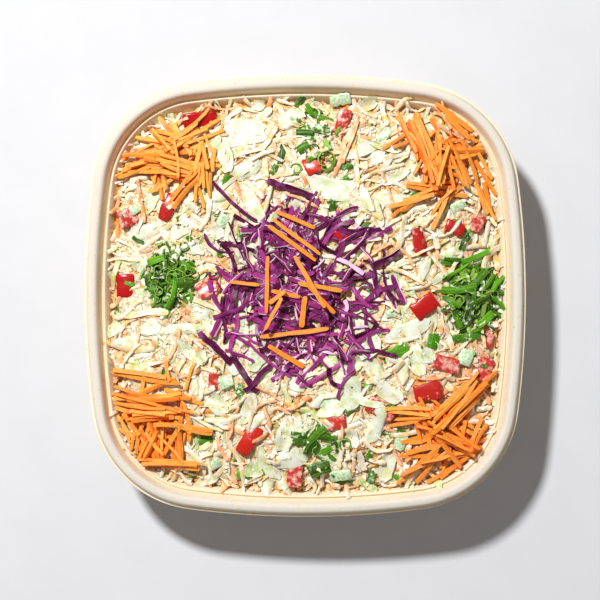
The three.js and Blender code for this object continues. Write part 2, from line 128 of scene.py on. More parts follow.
def put(tree, kind, *ordered, **named):
    """Adds one node. The ordered values go to its live inputs, those named in capitals to the inputs of that
    name, and the others are its settings. A node stands for its first live output."""
    added = tree.nodes.new(kind)
    for name in filter(str.islower, named):
        setattr(added, name, named[name])
    chosen = list(zip(ordered, (socket for socket in added.inputs if socket.enabled)))
    chosen += [(named[name], added.inputs[name.replace("_", " ")]) for name in named if not name.islower()]
    for value, socket in chosen:
        if isinstance(value, bpy.types.Node):
            value = next(output for output in value.outputs if output.enabled)
        if isinstance(value, bpy.types.NodeSocket):
            tree.links.new(value, socket)
        else:
            socket.default_value = value
    return added


def colour(code):
    """An sRGB hex colour as linear RGBA."""
    channels = [int(code[i : i + 2], 16) / 255 for i in (1, 3, 5)]
    return [c / 12.92 if c <= 0.04045 else ((c + 0.055) / 1.055) ** 2.4 for c in channels] + [1.0]


def start_material(name, *marks, **finish):
    """A material with these constants, its tree, the places on the object, and the marks of its points."""
    material = bpy.data.materials.new(name)
    material.use_nodes = True
    tree = material.node_tree
    for socket, value in finish.items():
        tree.nodes["Principled BSDF"].inputs[socket.replace("_", " ")].default_value = value
    place = put(tree, "ShaderNodeTexCoord").outputs["Object"]
    return material, tree, place, *(
        put(tree, "ShaderNodeAttribute", attribute_name=mark).outputs["Fac"] for mark in marks)


def finish_material(material, ground, coats, relief=None, strength=0.0, deep=0.0):
    """Lays coats of colour over a ground, each as thick as its amount says, and a relief so many mm deep."""
    tree = material.node_tree
    seen = colour(ground)
    for amount, coat in coats:
        coat = colour(coat) if isinstance(coat, str) else coat
        seen = put(tree, "ShaderNodeMix", amount, seen, coat, data_type="RGBA")
    shader = tree.nodes["Principled BSDF"]
    tree.links.new(seen.outputs[2], shader.inputs["Base Color"])
    if relief is not None:
        bump = put(tree, "ShaderNodeBump", Strength=strength, Distance=deep * MM, Height=relief)
        tree.links.new(bump.outputs[0], shader.inputs["Normal"])
    return material


def mark_points(mesh, name, values):
    """Gives each point of a mesh a value that materials and trees can read."""
    mesh.attributes.new(name, "FLOAT", "POINT").data.foreach_set("value", values)


def add_piece(name, mesh, slot, *nodes):
    """A finished mesh as a piece of the object, in the place of those solids."""
    piece = bpy.data.objects.new(name, mesh)
    bpy.context.scene.collection.objects.link(piece)
    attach(piece, "root")
    if nodes:
        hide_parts(*nodes)


def bagasse_fibre():
    """Pressed bagasse: matt, mottled cream, with bran flecks; painted light makes its lip greyer, and painted
    shade tans the inner wall lower down.
    """
    material, tree, place, screen = start_material(
        "bagasse fibre", "screen_side", Roughness=0.82, Subsurface_Weight=0.35,
        Subsurface_Radius=(1.0, 0.55, 0.25), Subsurface_Scale=5 * MM)
    mottle = put(tree, "ShaderNodeTexNoise", place, Scale=1 / (14 * MM), Detail=3.0)
    # Real fibres are 0.1 mm thick. They are drawn as clumps of 1.3 mm, which still show.
    clumps = put(tree, "ShaderNodeTexNoise", place, Scale=1 / (1.3 * MM), Detail=4.0)
    flecks = put(tree, "ShaderNodeTexNoise", place, Scale=1 / (2.2 * MM), Detail=1.0)
    flecked = put(tree, "ShaderNodeMapRange", flecks, 0.70, 0.76)
    height = put(tree, "ShaderNodeSeparateXYZ", place).outputs[2]
    # Painted light: the top of the lip, where the light falls full, turns a greyer, less yellow cream.
    lip_painted_light = put(tree, "ShaderNodeMapRange", height, (RIM_TOP - 5.0) * MM, (RIM_TOP - 1.5) * MM)
    # Painted shade: lower down the inside wall, where shade falls, the cream turns a warmer tan; the side that
    # lay on the screen keeps its cream.
    low_down = put(
        tree, "ShaderNodeMapRange", height, (RIM_TOP - 14.0) * MM, (RIM_TOP - 7.5) * MM, To_Min=1.0,
        To_Max=0.0)
    painted_wall_shade = put(tree, "ShaderNodeMath", low_down, screen, operation="SUBTRACT", use_clamp=True)
    # The wire screen's weave, 1.1 mm between wires, stays in the side that lay on it.
    weave = put(tree, "ShaderNodeTexWave", place, Scale=0.31 / (1.1 * MM), Distortion=1.5)
    woven = put(tree, "ShaderNodeMath", weave.outputs["Fac"], screen, operation="MULTIPLY")
    relief = put(tree, "ShaderNodeMath", clumps, woven, operation="ADD")
    coats = [(mottle, "#ECDCC4"), (painted_wall_shade, "#EAD0AE"), (lip_painted_light, "#D1CABE"), (flecked, "#CBB48E")]
    return finish_material(material, "#E4D1B2", coats, relief, strength=0.35, deep=0.25)


def make_tray():
    upper = rounded(SECTION, 2)
    along = np.gradient(upper, axis=0)
    along[[0, -1]] = (1.0, 0.0)
    along /= np.linalg.norm(along, axis=1)[:, None]
    lower = upper + SKIN * np.stack([along[:, 1], -along[:, 0]], 1)
    lip = [(0.05, upper[0, 1] - 0.35), (0.0, upper[0, 1] - 0.7), (0.05, lower[0, 1] + 0.3)]
    profile = np.vstack([upper[::-1], lip, lower, FOOT_RING])
    sides = np.linspace(-ARC_END, ARC_END, SIDE_STEPS, endpoint=False)
    corners = np.linspace(ARC_END, QUARTER - ARC_END, CORNER_STEPS, endpoint=False)
    directions = np.concatenate([np.append(sides, corners) + quarter * QUARTER for quarter in range(4)])
    uneven = sum(high * np.sin(waves * directions + start) for high, waves, start in LIP_WAVES)
    rings = []
    for inset, height in profile:
        near_lip = max(0.0, 1 - inset / LIP_WAVES_END)
        rings.append(np.stack([*outline(directions, inset), height + near_lip * uneven], 1))
    rings.append(np.array([(0, 0, SKIN), (0, 0, FOOT_RING[-1][1])]))
    mesh = bpy.data.meshes.new("tray_skin")
    mesh.from_pydata(np.concatenate(rings) * MM, [], ring_faces(len(profile), len(directions)))
    outside = np.repeat(np.arange(len(profile)) > len(upper) + len(lip), len(directions)).astype(float)
    mark_points(mesh, "screen_side", np.append(outside, (0.0, 1.0)))
    mesh.shade_smooth()
    mesh.materials.append(bagasse_fibre())
    add_piece("tray_skin", mesh, "fibre", "tray")


make_tray()

# ---- How cut vegetables come to rest ----
# The heap is laid as it is in a kitchen: piece upon piece, each one sagging over what is already there. A
# grid of heights holds the top of all that is laid so far, beginning with the tray and what the heap hides.
CELL = 0.75
HALF_CELLS = 204
SLAW_EDGE_Z = 54.0
SLAW_EDGE_INSET = 17.8
SLAW_RISE = 14.0
SLAW_SHOULDER = 60.0
LUMP_HEIGHT = 1.3
SLAW_DEPTH = 9.0  # thickness of the layer whose pieces are laid one by one
STATIONS = np.array([0.0, 0.03, 0.12, 0.27, 0.42, 0.58, 0.73, 0.88, 0.97, 1.0])
FULL = np.array([0.0, 0.7, 1.0, 1.0, 1.0, 1.0, 1.0, 1.0, 0.7, 0.0])  # 0 at the narrow ends, 1 along the rest
FEELERS_OUT = 0.45  # how far out a strip feels for what lies below it, as a share of its width
CALMED = 9  # how many steps along a strip its lie is averaged over
LEAN_MOST = 0.4  # rise across a strip for each millimetre of it
STICK_SLOPE_MOST = 0.14  # rise along a stiff stick for each millimetre of it
# Painted shade: pieces darken in colour the deeper they lie in the heap, standing in for the shade between them.
SHADE_FROM = 0.8  # how deep in the heap a piece starts to darken


def heap_top(x, y):
    """The height of the bare heap: a low dome with soft lumps."""
    inward = np.clip((inset_of(x, y) - SLAW_EDGE_INSET) / SLAW_SHOULDER, 0, 1)
    dome = SLAW_RISE * (1 - (1 - inward) ** 2)
    lumps = np.sin(x / 13 + 1) * np.cos(y / 15) + 0.7 * np.sin((x + y) / 9) * np.sin((x - y) / 11)
    return SLAW_EDGE_Z + dome + LUMP_HEIGHT * lumps * inward


def cell(x, y):
    """The grid's row and column at a place."""
    return tuple(
        np.clip(np.rint(np.asarray(at) / CELL).astype(int) + HALF_CELLS, 0, 2 * HALF_CELLS) for at in (y, x))


def on_line(x, y, heading, along, aside=0.0):
    """The place that lies so far along a heading, and so far aside of it."""
    return (x + along * math.cos(heading) - aside * math.sin(heading),
            y + along * math.sin(heading) + aside * math.cos(heading))


grid_axis = (np.arange(2 * HALF_CELLS + 1) - HALF_CELLS) * CELL
grid_x, grid_y = np.meshgrid(grid_axis, grid_axis)
grid_inset = inset_of(grid_x, grid_y)
tray_top = np.interp(grid_inset, SECTION[:, 0], SECTION[:, 1])
laid = np.where(grid_inset > SLAW_EDGE_INSET, heap_top(grid_x, grid_y) - SLAW_DEPTH, tray_top)
laid = np.maximum(laid, tray_top)
in_view = np.zeros(laid.shape, bool)  # where a piece lies that the shreds above it mostly leave bare


def upward(path, sideways):
    """The directions square to a line and to what is sideways of it."""
    lift = np.cross(np.gradient(path, axis=0), sideways)
    return lift / np.linalg.norm(lift, axis=1)[:, None]


def lay(x, y, heading, length, width, thick, draw, bend=0.0, wave=0.0, limp=0.03, firm=0.35, ends=0.5,
        sink=0.3, roll=0.0, ragged=0.1, **looks):
    """Lays one strip on the heap, and gives its middle line, its upward direction, width and thickness. The
    heading turns by `bend` along it. It hangs over the high places, sagging by `limp` per millimetre (none
    for a stiff stick). With `firm` at 1 it keeps that line, and at 0 it is pressed down into the rest."""
    count = max(int(length / CELL), 8)
    s = np.linspace(-0.5, 0.5, count)
    turn = heading + bend * s + wave * np.sin(2 * math.pi * (s + x))
    step = length / (count - 1)
    px, py = np.cumsum(np.cos(turn)) * step, np.cumsum(np.sin(turn)) * step
    px += x - px[count // 2]
    py += y - py[count // 2]
    side = np.stack([-np.sin(turn), np.cos(turn)], 1)
    feelers = np.linspace(-FEELERS_OUT, FEELERS_OUT, max(3, 2 * int(width / 3) + 1))
    felt = np.array([laid[cell(px + side[:, 0] * width * f, py + side[:, 1] * width * f)] for f in feelers])
    left, right = felt[: len(feelers) // 2].mean(0), felt[len(feelers) // 2 + 1 :].mean(0)
    calm = np.ones(min(CALMED, count)) / min(CALMED, count)
    half = len(calm) // 2
    smooth = lambda line: np.convolve(np.pad(line, half, "edge"), calm, "same")[half:][:count]
    tilt = np.clip(smooth((right - left) / (0.6 * width)), -LEAN_MOST, LEAN_MOST)
    low = felt.mean(0)
    base = low + 0.5 * (felt.max(0) - low)
    along = s * length
    if limp:
        high = (base[None, :] - limp * (along[:, None] - along[None, :]) ** 2).max(1)
        low = smooth(low)
    else:
        halves = [(a, b) for a in range(0, count // 2, 2) for b in range(count // 2, count, 2)]
        slopes = [(base[b] - base[a]) / (along[b] - along[a]) for a, b in halves]
        middles = [base[a] - slope * along[a] for (a, _), slope in zip(halves, slopes)]
        slope = float(np.clip(slopes[int(np.argmax(middles))], -STICK_SLOPE_MOST, STICK_SLOPE_MOST))
        high = (base - slope * along).max() + slope * along
        low = np.polyval(np.polyfit(along, low, 1), along)
        tilt = np.full(count, tilt.mean())
    z = low + firm * (high - low) + thick / 2 - sink + 0.3 * width * abs(roll)
    tilt = tilt + roll
    for f in np.linspace(-0.5, 0.5, max(3, int(width / CELL) + 2)):
        there = cell(px + side[:, 0] * width * f, py + side[:, 1] * width * f)
        np.maximum.at(laid, there, z + thick / 2 + tilt * width * f)
    at = STATIONS * (count - 1)
    pick = lambda *rows: np.stack([np.interp(at, np.arange(count), row) for row in rows], 1)
    path = pick(px, py, z)
    narrow = ends + (1 - ends) * FULL
    return {
        "path": path,
        "lift": upward(path, pick(side[:, 0], side[:, 1], tilt)),
        "width": width * narrow * (1 + ragged * draw.normal(size=len(STATIONS))),
        "thick": thick * (0.5 + 0.5 * narrow),
        "looks": looks,
    }


def paint_depth_shade(pieces, top, full):
    """Notes how deep each point of some pieces lies under a grid of heights, as part of a full depth, for the
    painted shade that darkens the deeper points.
    """
    for piece in pieces:
        x, y, z = piece["path"].T
        piece["looks"]["deep"] = np.clip((top[cell(x, y)] - z - SHADE_FROM) / full, 0, 1)


def on_edge(strip):
    """The same strip turned a quarter round its line, so that a cut edge faces up."""
    lift = -upward(strip["path"], strip["lift"])
    return strip | {"lift": lift, "width": strip["thick"], "thick": strip["width"]}


def finer(grid):
    """A grid of values with the values halfway between them put in."""
    for _ in range(2):
        twice = np.empty((2 * len(grid) - 1, grid.shape[1]))
        twice[::2] = grid
        twice[1::2] = (grid[1:] + grid[:-1]) / 2
        grid = twice.T
    return grid


def lay_sheet(x, y, heading, length, width, thick, draw, rows=8, columns=6, bend=0.0, curl=0.0, stiff=2,
              **looks):
    """Drapes one leaf piece over the heap, and gives the places of its upper side and its thickness."""
    along, across = np.meshgrid(np.linspace(-0.5, 0.5, rows), np.linspace(-0.5, 0.5, columns), indexing="ij")
    narrow = 0.45 + 0.55 * np.sqrt(1 - np.abs(2 * along) ** 3)
    edges, tips = draw.normal(size=(2, rows, 1)), draw.normal(size=(1, columns))
    for _ in range(stiff // 2):
        edges = (np.roll(edges, 1, 1) + edges + np.roll(edges, -1, 1)) / 3
        tips = (np.roll(tips, 1) + tips + np.roll(tips, -1)) / 3
    edges = 1 + 0.22 * edges
    forth = length * along * (1 + 0.16 * tips * np.abs(2 * along) ** 3)
    aside = width * across * narrow * np.where(across < 0, edges[0], edges[1])
    aside = aside + bend * length * (along**2 - 0.1)
    px, py = on_line(x, y, heading, forth, aside)
    bare = laid[cell(px, py)]
    draped = bare
    for _ in range(stiff):
        wide = np.pad(draped, 1, "edge")
        draped = (wide[1:-1, 1:-1] + wide[:-2, 1:-1] + wide[2:, 1:-1] + wide[1:-1, :-2] + wide[1:-1, 2:]) / 5
    waves = draw.uniform(0, 2 * math.pi, 2)
    wavy = np.sin(length * along / 2.6 + waves[0]) * np.cos(width * across / 2.2 + waves[1])
    top = draped + np.maximum(bare - draped, 0) / stiff + thick + 0.35 * wavy + curl * np.abs(2 * across) ** 3
    fine_x, fine_y, fine_top = (finer(finer(grid)) for grid in (px, py, top))
    np.maximum.at(laid, cell(fine_x, fine_y), fine_top)
    grid = np.stack([px, py, top], -1)
    return {"path": grid.reshape(-1, 3), "thick": thick, "across": 2 * across, "looks": looks}


def keep_in(x, y, heading, length, limit):
    """The place near x, y where both tips of a piece lie at least so far in from the lip."""
    for tip in (-0.5, 0.5, -0.5, 0.5):
        tip_x, tip_y = on_line(x, y, heading, tip * length)
        short = limit - float(inset_of(tip_x, tip_y))
        if short > 0:
            x -= tip_x / math.hypot(tip_x, tip_y) * short
            y -= tip_y / math.hypot(tip_x, tip_y) * short
    return x, y


def start_tree(name, made, **asked):
    """An empty tree that makes one shape, with its inputs' sockets."""
    tree = bpy.data.node_groups.new(name, "GeometryNodeTree")
    for socket, kind in asked.items():
        tree.interface.new_socket(
            socket.replace("_", " "), in_out="INPUT", socket_type="NodeSocket" + kind)
    tree.interface.new_socket(made, in_out="OUTPUT", socket_type="NodeSocketGeometry")
    return tree, put(tree, "NodeGroupInput").outputs


# One tree sweeps every kind of cut strip along its middle line. Its section is a circle, pressed square by
# the squareness, and a slow noise ruffles it. Corners sharper than CORNER_ANGLE stay crisp.
CORNER_ANGLE = math.radians(63)


def strip_tree():
    tree, asked = start_tree(
        "strips along lines", "Strips", Lines="Geometry", Sides="Int", Squareness="Float",
        Ruffle_Height="Float", Ruffle_Length="Float", Material="Material")
    lines = put(tree, "GeometryNodeMeshToCurve", asked["Lines"])
    lift = put(tree, "GeometryNodeInputNamedAttribute", "lift", data_type="FLOAT_VECTOR")
    tangent = put(tree, "GeometryNodeInputTangent")
    crossed = put(tree, "ShaderNodeVectorMath", lift, tangent, operation="CROSS_PRODUCT")
    across = put(tree, "ShaderNodeVectorMath", crossed, operation="NORMALIZE")
    middle = put(tree, "GeometryNodeInputPosition")
    carried = put(tree, "GeometryNodeCaptureAttribute", lines)
    for name, field in (("Across", across), ("Lift", lift), ("Middle", middle)):
        carried.capture_items.new("VECTOR", name)
        tree.links.new(field.outputs[0], carried.inputs[name])

    section = put(tree, "GeometryNodeCurvePrimitiveCircle", Resolution=asked["Sides"], Radius=1.0)
    on_circle = put(tree, "ShaderNodeSeparateXYZ", put(tree, "GeometryNodeInputPosition"))
    less = put(tree, "ShaderNodeMath", 1.0, asked["Squareness"], operation="SUBTRACT")
    for name, part in zip(("across", "over"), on_circle.outputs):
        size = put(tree, "ShaderNodeMath", part, operation="ABSOLUTE")
        pressed = put(tree, "ShaderNodeMath", size, less, operation="POWER")
        sign = put(tree, "ShaderNodeMath", part, operation="SIGN")
        signed = put(tree, "ShaderNodeMath", pressed, sign, operation="MULTIPLY")
        section = put(
            tree, "GeometryNodeStoreNamedAttribute", section, Name=name, Value=signed, domain="POINT")
    swept = put(tree, "GeometryNodeCurveToMesh", carried, Profile_Curve=section, Fill_Caps=True)

    marks = {name: put(tree, "GeometryNodeInputNamedAttribute", name)
             for name in ("across", "over", "half_width", "half_thick", "cup")}
    aside = put(tree, "ShaderNodeMath", marks["across"], marks["half_width"], operation="MULTIPLY")
    above = put(tree, "ShaderNodeMath", marks["over"], marks["half_thick"], operation="MULTIPLY")
    hollow = put(tree, "ShaderNodeMath", aside, marks["across"], operation="MULTIPLY")
    cupped = put(tree, "ShaderNodeMath", hollow, marks["cup"], above, operation="MULTIPLY_ADD")
    flat = put(
        tree, "ShaderNodeVectorMath", carried.outputs["Across"], aside, carried.outputs["Middle"],
        operation="MULTIPLY_ADD")
    raised = put(
        tree, "ShaderNodeVectorMath", carried.outputs["Lift"], cupped, flat, operation="MULTIPLY_ADD")
    often = put(tree, "ShaderNodeMath", 1.0, asked["Ruffle Length"], operation="DIVIDE")
    noise = put(tree, "ShaderNodeTexNoise", flat, Scale=often, Detail=1.0)
    swing = put(tree, "ShaderNodeVectorMath", noise.outputs["Color"], (0.5,) * 3, operation="SUBTRACT")
    place = put(
        tree, "ShaderNodeVectorMath", swing, asked["Ruffle Height"], raised, operation="MULTIPLY_ADD")
    shaped = put(tree, "GeometryNodeSetPosition", swept, Position=place)
    smooth = put(tree, "GeometryNodeSetShadeSmooth", shaped)
    angle = put(tree, "GeometryNodeInputMeshEdgeAngle")
    corner = put(tree, "FunctionNodeCompare", angle, CORNER_ANGLE, operation="GREATER_THAN")
    crisp = put(
        tree, "GeometryNodeSetShadeSmooth", smooth, Selection=corner, Shade_Smooth=False, domain="EDGE")
    real = put(tree, "GeometryNodeRealizeInstances", crisp)
    finished = put(tree, "GeometryNodeSetMaterial", real, Material=asked["Material"])
    put(tree, "NodeGroupOutput", finished)
    return tree


STRIP_TREE = strip_tree()


def run_tree(name, mesh, tree, asked):
    """The plain mesh that a tree makes of another."""
    source = bpy.data.objects.new(name, mesh)
    bpy.context.scene.collection.objects.link(source)
    modifier = source.modifiers.new("shape", "NODES")
    modifier.node_group = tree
    for item in tree.interface.items_tree:
        if item.in_out == "INPUT" and item.name in asked:
            modifier[item.identifier] = asked[item.name]
    made = bpy.data.meshes.new_from_object(source.evaluated_get(bpy.context.evaluated_depsgraph_get()))
    source.modifiers.clear()
    bpy.data.objects.remove(source)
    made.name = name
    return made


def make_strips(name, strips, material, slot, *nodes, ruffle, sides=8, squareness=0.85, shade=None):
    """All strips of one kind as one piece. With a shade, painted shade darkens them down to that depth in the
    heap.
    """
    strips = [strip for strip in strips if strip]
    if shade:
        paint_depth_shade(strips, laid, shade)
    mesh = bpy.data.meshes.new(name + "_lines")
    gathered = {
        key: np.concatenate([strip[key] for strip in strips]) for key in ("path", "lift", "width", "thick")}
    stations = len(strips[0]["path"])
    starts = np.arange(len(gathered["path"])).reshape(-1, stations)
    mesh.from_pydata(gathered["path"] * MM, np.stack([starts[:, :-1], starts[:, 1:]], -1).reshape(-1, 2), [])
    mesh.attributes.new("lift", "FLOAT_VECTOR", "POINT").data.foreach_set("vector", gathered["lift"].ravel())
    for size in ("width", "thick"):
        mark_points(mesh, "half_" + size, gathered[size] * MM / 2)
    for look in ("cup", "tint", "film", "deep"):
        values = [np.broadcast_to(np.float64(strip["looks"].get(look, 0.0)), stations) for strip in strips]
        mark_points(mesh, look, np.concatenate(values))
    asked = {"Sides": sides, "Squareness": squareness, "Ruffle Height": ruffle[0] * MM,
             "Ruffle Length": ruffle[1] * MM, "Material": material}
    add_piece(name, run_tree(name, mesh, STRIP_TREE, asked), slot, *nodes)


def make_sheets(name, sheets, material, slot):
    """All leaf pieces of one size as one piece, each closed by an underside and a rim."""
    rows, columns = sheets[0]["across"].shape
    number = np.arange(2 * rows * columns).reshape(2, rows, columns)
    quads = []
    for i in range(rows - 1):
        for j in range(columns - 1):
            corners = ((i, j), (i + 1, j), (i + 1, j + 1), (i, j + 1))
            quads.append([number[0][corner] for corner in corners])
            quads.append([number[1][corner] for corner in corners[::-1]])
    border = [(i, 0) for i in range(rows)] + [(rows - 1, j) for j in range(1, columns)]
    border += [(i, columns - 1) for i in reversed(range(rows - 1))]
    border += [(0, j) for j in reversed(range(1, columns - 1))]
    for here, there in zip(border, border[1:] + border[:1]):
        quads.append([number[0][there], number[0][here], number[1][here], number[1][there]])
    points = [np.vstack([sheet["path"], sheet["path"] - (0, 0, sheet["thick"])]) for sheet in sheets]
    faces = np.concatenate([np.array(quads) + number.size * i for i in range(len(sheets))])
    mesh = bpy.data.meshes.new(name)
    mesh.from_pydata(np.concatenate(points) * MM, [], faces.tolist())
    for look in ("tint", "film", "deep"):
        values = [np.broadcast_to(sheet["looks"].get(look, 0.0), rows * columns) for sheet in sheets]
        mark_points(mesh, look, np.concatenate([np.tile(value, 2) for value in values]))
    mark_points(mesh, "across", np.concatenate([np.tile(sheet["across"].ravel(), 2) for sheet in sheets]))
    mesh.shade_smooth()
    mesh.set_sharp_from_angle(angle=CORNER_ANGLE)
    mesh.materials.append(material)
    add_piece(name, mesh, slot)


def own_fibres(tree, tint, across, fineness):
    """Fine lines along a strip, which each strip has for itself."""
    own = put(tree, "ShaderNodeVectorMath", tint, (50.0,) * 3, across, operation="MULTIPLY_ADD")
    return put(tree, "ShaderNodeTexNoise", own, Scale=fineness, Detail=2.0)


# ---- The slaw ----
# Shredded white cabbage, some of it from the green outer leaves, tossed with fine carrot shreds in a creamy
# dressing. The shreds are laid from the bottom up, and those that end up out of sight are left out.
SLAW_PIECES = (4640, 1160)  # laid before the peppers and onion, and after them
SLAW_RISES = (-1.0, 0.6)  # how far over its goal each of the two fills the heap
SLAW_CRUMBS = 800
BURIED = 3.4  # a shred all of which lies deeper than this is out of sight
SLAW_KINDS = {  # share of the pieces, and the ranges of their length, width and thickness
    "rib_shreds": (0.28, (10, 30), (2.0, 4.4), (1.2, 2.1)),
    "leaf_shreds": (0.18, (14, 42), (1.8, 5.0), (0.6, 1.0)),
    "green_shreds": (0.08, (9, 28), (1.8, 5.0), (0.6, 1.1)),
    "leaf_pieces": (0.21, (9, 26), (5.0, 11.0), (0.6, 0.9)),
    "rib_crumbs": (0.06, (4, 12), (2.0, 4.2), (1.2, 2.2)),
    "dressed_carrot": (0.15, (10, 36), (1.6, 3.4), (1.2, 2.0)),
}
SLAW_EDGE = 15.5  # how far in from the lip the slaw's edge lies
EDGE_PLAY = (-1.5, 3.0)
OVER_LEDGE = (0.15, 3.5)  # this share of the shreds lies so far out over the ledge
ABOVE_CORE = 1.5  # how far the laid pieces stand above the bare heap
ROOM = TRAY_HALF - 13.0
FAR = 99.0
PROUD = 0.5  # how far above its goal the heap may still get a shred
BEND_MOST = 1.8
SPARED = 0.93  # share of the shreds that are kept off the pieces in view
TURNED = 0.2  # share of the shreds that lie on their cut edge
TURNED_WIDEST = 4.6
HOLLOWS = [  # where the toppings sink in: (x, y, half the width, half the length, depth)
    (-3, 3, 66, 70, 4.5), (-94, 93, 40, 34, 4.5), (98, 95, 40, 36, 4.5), (-97, -88, 42, 36, 4.5),
    (92, -93, 42, 40, 4.5), (-94, 14, 22, 24, 3.0), (115, 2, 21, 27, 3.0),
]
slaw_draw = np.random.default_rng(7)
slaw = {kind: [] for kind in (*SLAW_KINDS, "broad_leaves")}
slaw_goal = heap_top(grid_x, grid_y) + ABOVE_CORE
for x, y, half_across, half_along, depth in HOLLOWS:
    out = np.hypot((grid_x - x) / half_across, (grid_y - y) / half_along)
    slaw_goal -= depth * np.clip(1.6 * (1 - out), 0, 1)


def lowest_place(count, edge):
    """The lowest of a few places drawn in the tray, and how far the heap is over its goal there."""
    places = slaw_draw.uniform(-ROOM, ROOM, (count, 2))
    x, y = places.T
    over = np.where(inset_of(x, y) < edge, FAR, laid[cell(x, y)] - slaw_goal[cell(x, y)])
    best = int(np.argmin(over))
    return *places[best], over[best]


def would_cover(x, y, heading, length, steps):
    """Whether a shred laid there would lie over a piece that is in view."""
    return in_view[cell(*on_line(x, y, heading, np.linspace(-0.5, 0.5, steps) * length))].any()


def lay_slaw(count, rise):
    """Lays shreds, each in the lowest of a few places drawn for it, until the heap's goal plus a rise."""
    kinds = list(SLAW_KINDS)
    shares = np.array([SLAW_KINDS[kind][0] for kind in kinds])
    for _ in range(count):
        kind = kinds[slaw_draw.choice(len(kinds), p=shares / shares.sum())]
        length, width, thick = (slaw_draw.uniform(*limits) for limits in SLAW_KINDS[kind][1:])
        heading = slaw_draw.uniform(0, math.pi)
        x, y, over = lowest_place(5, SLAW_EDGE + 0.5 * width)
        if over - rise > PROUD:
            continue
        bend = float(np.clip(slaw_draw.standard_t(3) * 0.5, -BEND_MOST, BEND_MOST))
        edge = SLAW_EDGE + slaw_draw.uniform(*EDGE_PLAY) + abs(bend) * length / 9
        edge -= OVER_LEDGE[1] * (slaw_draw.uniform() < OVER_LEDGE[0])
        x, y = keep_in(x, y, heading, length, edge)
        if would_cover(x, y, heading, length, 9) and slaw_draw.uniform() < SPARED:
            continue
        looks = {"tint": slaw_draw.uniform(), "film": slaw_draw.uniform()}
        if kind == "leaf_pieces":
            slaw[kind].append(lay_sheet(
                x, y, heading, length, width, thick, slaw_draw, bend=0.3 * bend,
                curl=slaw_draw.normal() * 0.8, **looks))
            continue
        piece = lay(
            x, y, heading, length, width, thick, slaw_draw, bend=bend, wave=slaw_draw.normal() * 0.2,
            firm=0.3, limp=slaw_draw.uniform(0.03, 0.08), ends=slaw_draw.uniform(0.3, 0.9),
            roll=slaw_draw.normal() * 0.35, cup=slaw_draw.normal() * 0.35, **looks)
        turned = slaw_draw.uniform() < TURNED and width < TURNED_WIDEST
        slaw[kind].append(on_edge(piece) if turned else piece)


def lay_crumbs(count):
    """Drops the finest cuttings into the hollows between the shreds."""
    for _ in range(count):
        x, y, _ = lowest_place(12, SLAW_EDGE + 2)
        heading, length = slaw_draw.uniform(0, math.pi), slaw_draw.uniform(5, 17)
        if would_cover(x, y, heading, length, 5):
            continue
        slaw["rib_crumbs"].append(lay(
            x, y, heading, length, slaw_draw.uniform(1.2, 2.6), slaw_draw.uniform(0.9, 1.7), slaw_draw,
            bend=slaw_draw.normal() * 0.9, firm=0.3, ragged=0.2, ends=slaw_draw.uniform(0.3, 0.8),
            roll=slaw_draw.normal() * 0.4, tint=slaw_draw.uniform()))


lay_slaw(SLAW_PIECES[0], SLAW_RISES[0])

# ---- Red pepper ----
# Bell pepper cut in pieces of 10 to 20 mm and tossed in with the rest: a glossy skin over pale, wet flesh,
# some pieces clean and some under dressing. Each lies where its solid lies.
PEPPERS = [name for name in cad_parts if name.startswith("red_pepper")]
PEPPER_THICK = 5.0
BOWED_PEPPERS = (2, 13)
CLEAN_PEPPERS = {  # how much dressing is on those that are clean
    1: 0.1, 2: 0.4, 3: 0.15, 6: 0.35, 7: 0.4, 8: 0.3, 10: 0.15, 11: 0.2, 13: 0.2, 19: 0.35, 22: 0.2}
ORANGE_PEPPERS = {6: 0.9, 12: 0.4, 13: 0.6, 15: 0.8}
pepper_draw = np.random.default_rng(3)


def lying_box(node):
    """The smallest upright box round a solid: its middle, heading, length and width, and its top."""
    corners = np.array([vertex.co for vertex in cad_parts[node].data.vertices]) / MM
    best = None
    for turn in np.radians(np.arange(0, 90, 1.0)):
        along = corners[:, 0] * math.cos(turn) + corners[:, 1] * math.sin(turn)
        across = corners[:, 1] * math.cos(turn) - corners[:, 0] * math.sin(turn)
        size = (np.ptp(along), np.ptp(across))
        if best is None or size[0] * size[1] < best[0]:
            middle = (along.max() + along.min()) / 2, (across.max() + across.min()) / 2
            best = (size[0] * size[1], *on_line(0, 0, turn, *middle), turn, *size)
    _, x, y, turn, length, width = best
    if width > length:
        length, width, turn = width, length, turn + QUARTER
    return x, y, turn, length, width, corners[:, 2].max()


def red_pepper_flesh():
    """Bell pepper: a deep red, glassy skin, paler wet flesh at the cuts, and thin smears of pale dressing."""
    material, tree, place, tint, film, over = start_material(
        "bell pepper", "tint", "film", "over", Roughness=0.22, Specular_IOR_Level=0.3, Coat_Weight=0.1,
        Coat_Roughness=0.1, Subsurface_Weight=0.15, Subsurface_Radius=(1.0, 0.2, 0.1),
        Subsurface_Scale=2 * MM)
    skin = put(tree, "ShaderNodeMix", tint, colour("#A60009"), colour("#C4240A"), data_type="RGBA")
    is_skin = put(tree, "ShaderNodeMapRange", over, 0.2, 0.9)
    veiled = put(tree, "ShaderNodeMath", film, 0.6, operation="MULTIPLY")
    specks = put(tree, "ShaderNodeTexNoise", place, Scale=1 / (4 * MM), Detail=6.0, Roughness=0.65)
    raised = put(tree, "ShaderNodeMath", film, 0.25, specks, operation="MULTIPLY_ADD")
    dressed = put(tree, "ShaderNodeMapRange", raised, 0.68, 0.9)
    coats = [(tint, "#D25C20"), (is_skin, skin.outputs[2]), (veiled, "#BE463C"), (dressed, "#F8D2BC")]
    return finish_material(material, "#B81410", coats, raised, strength=0.5, deep=0.4)


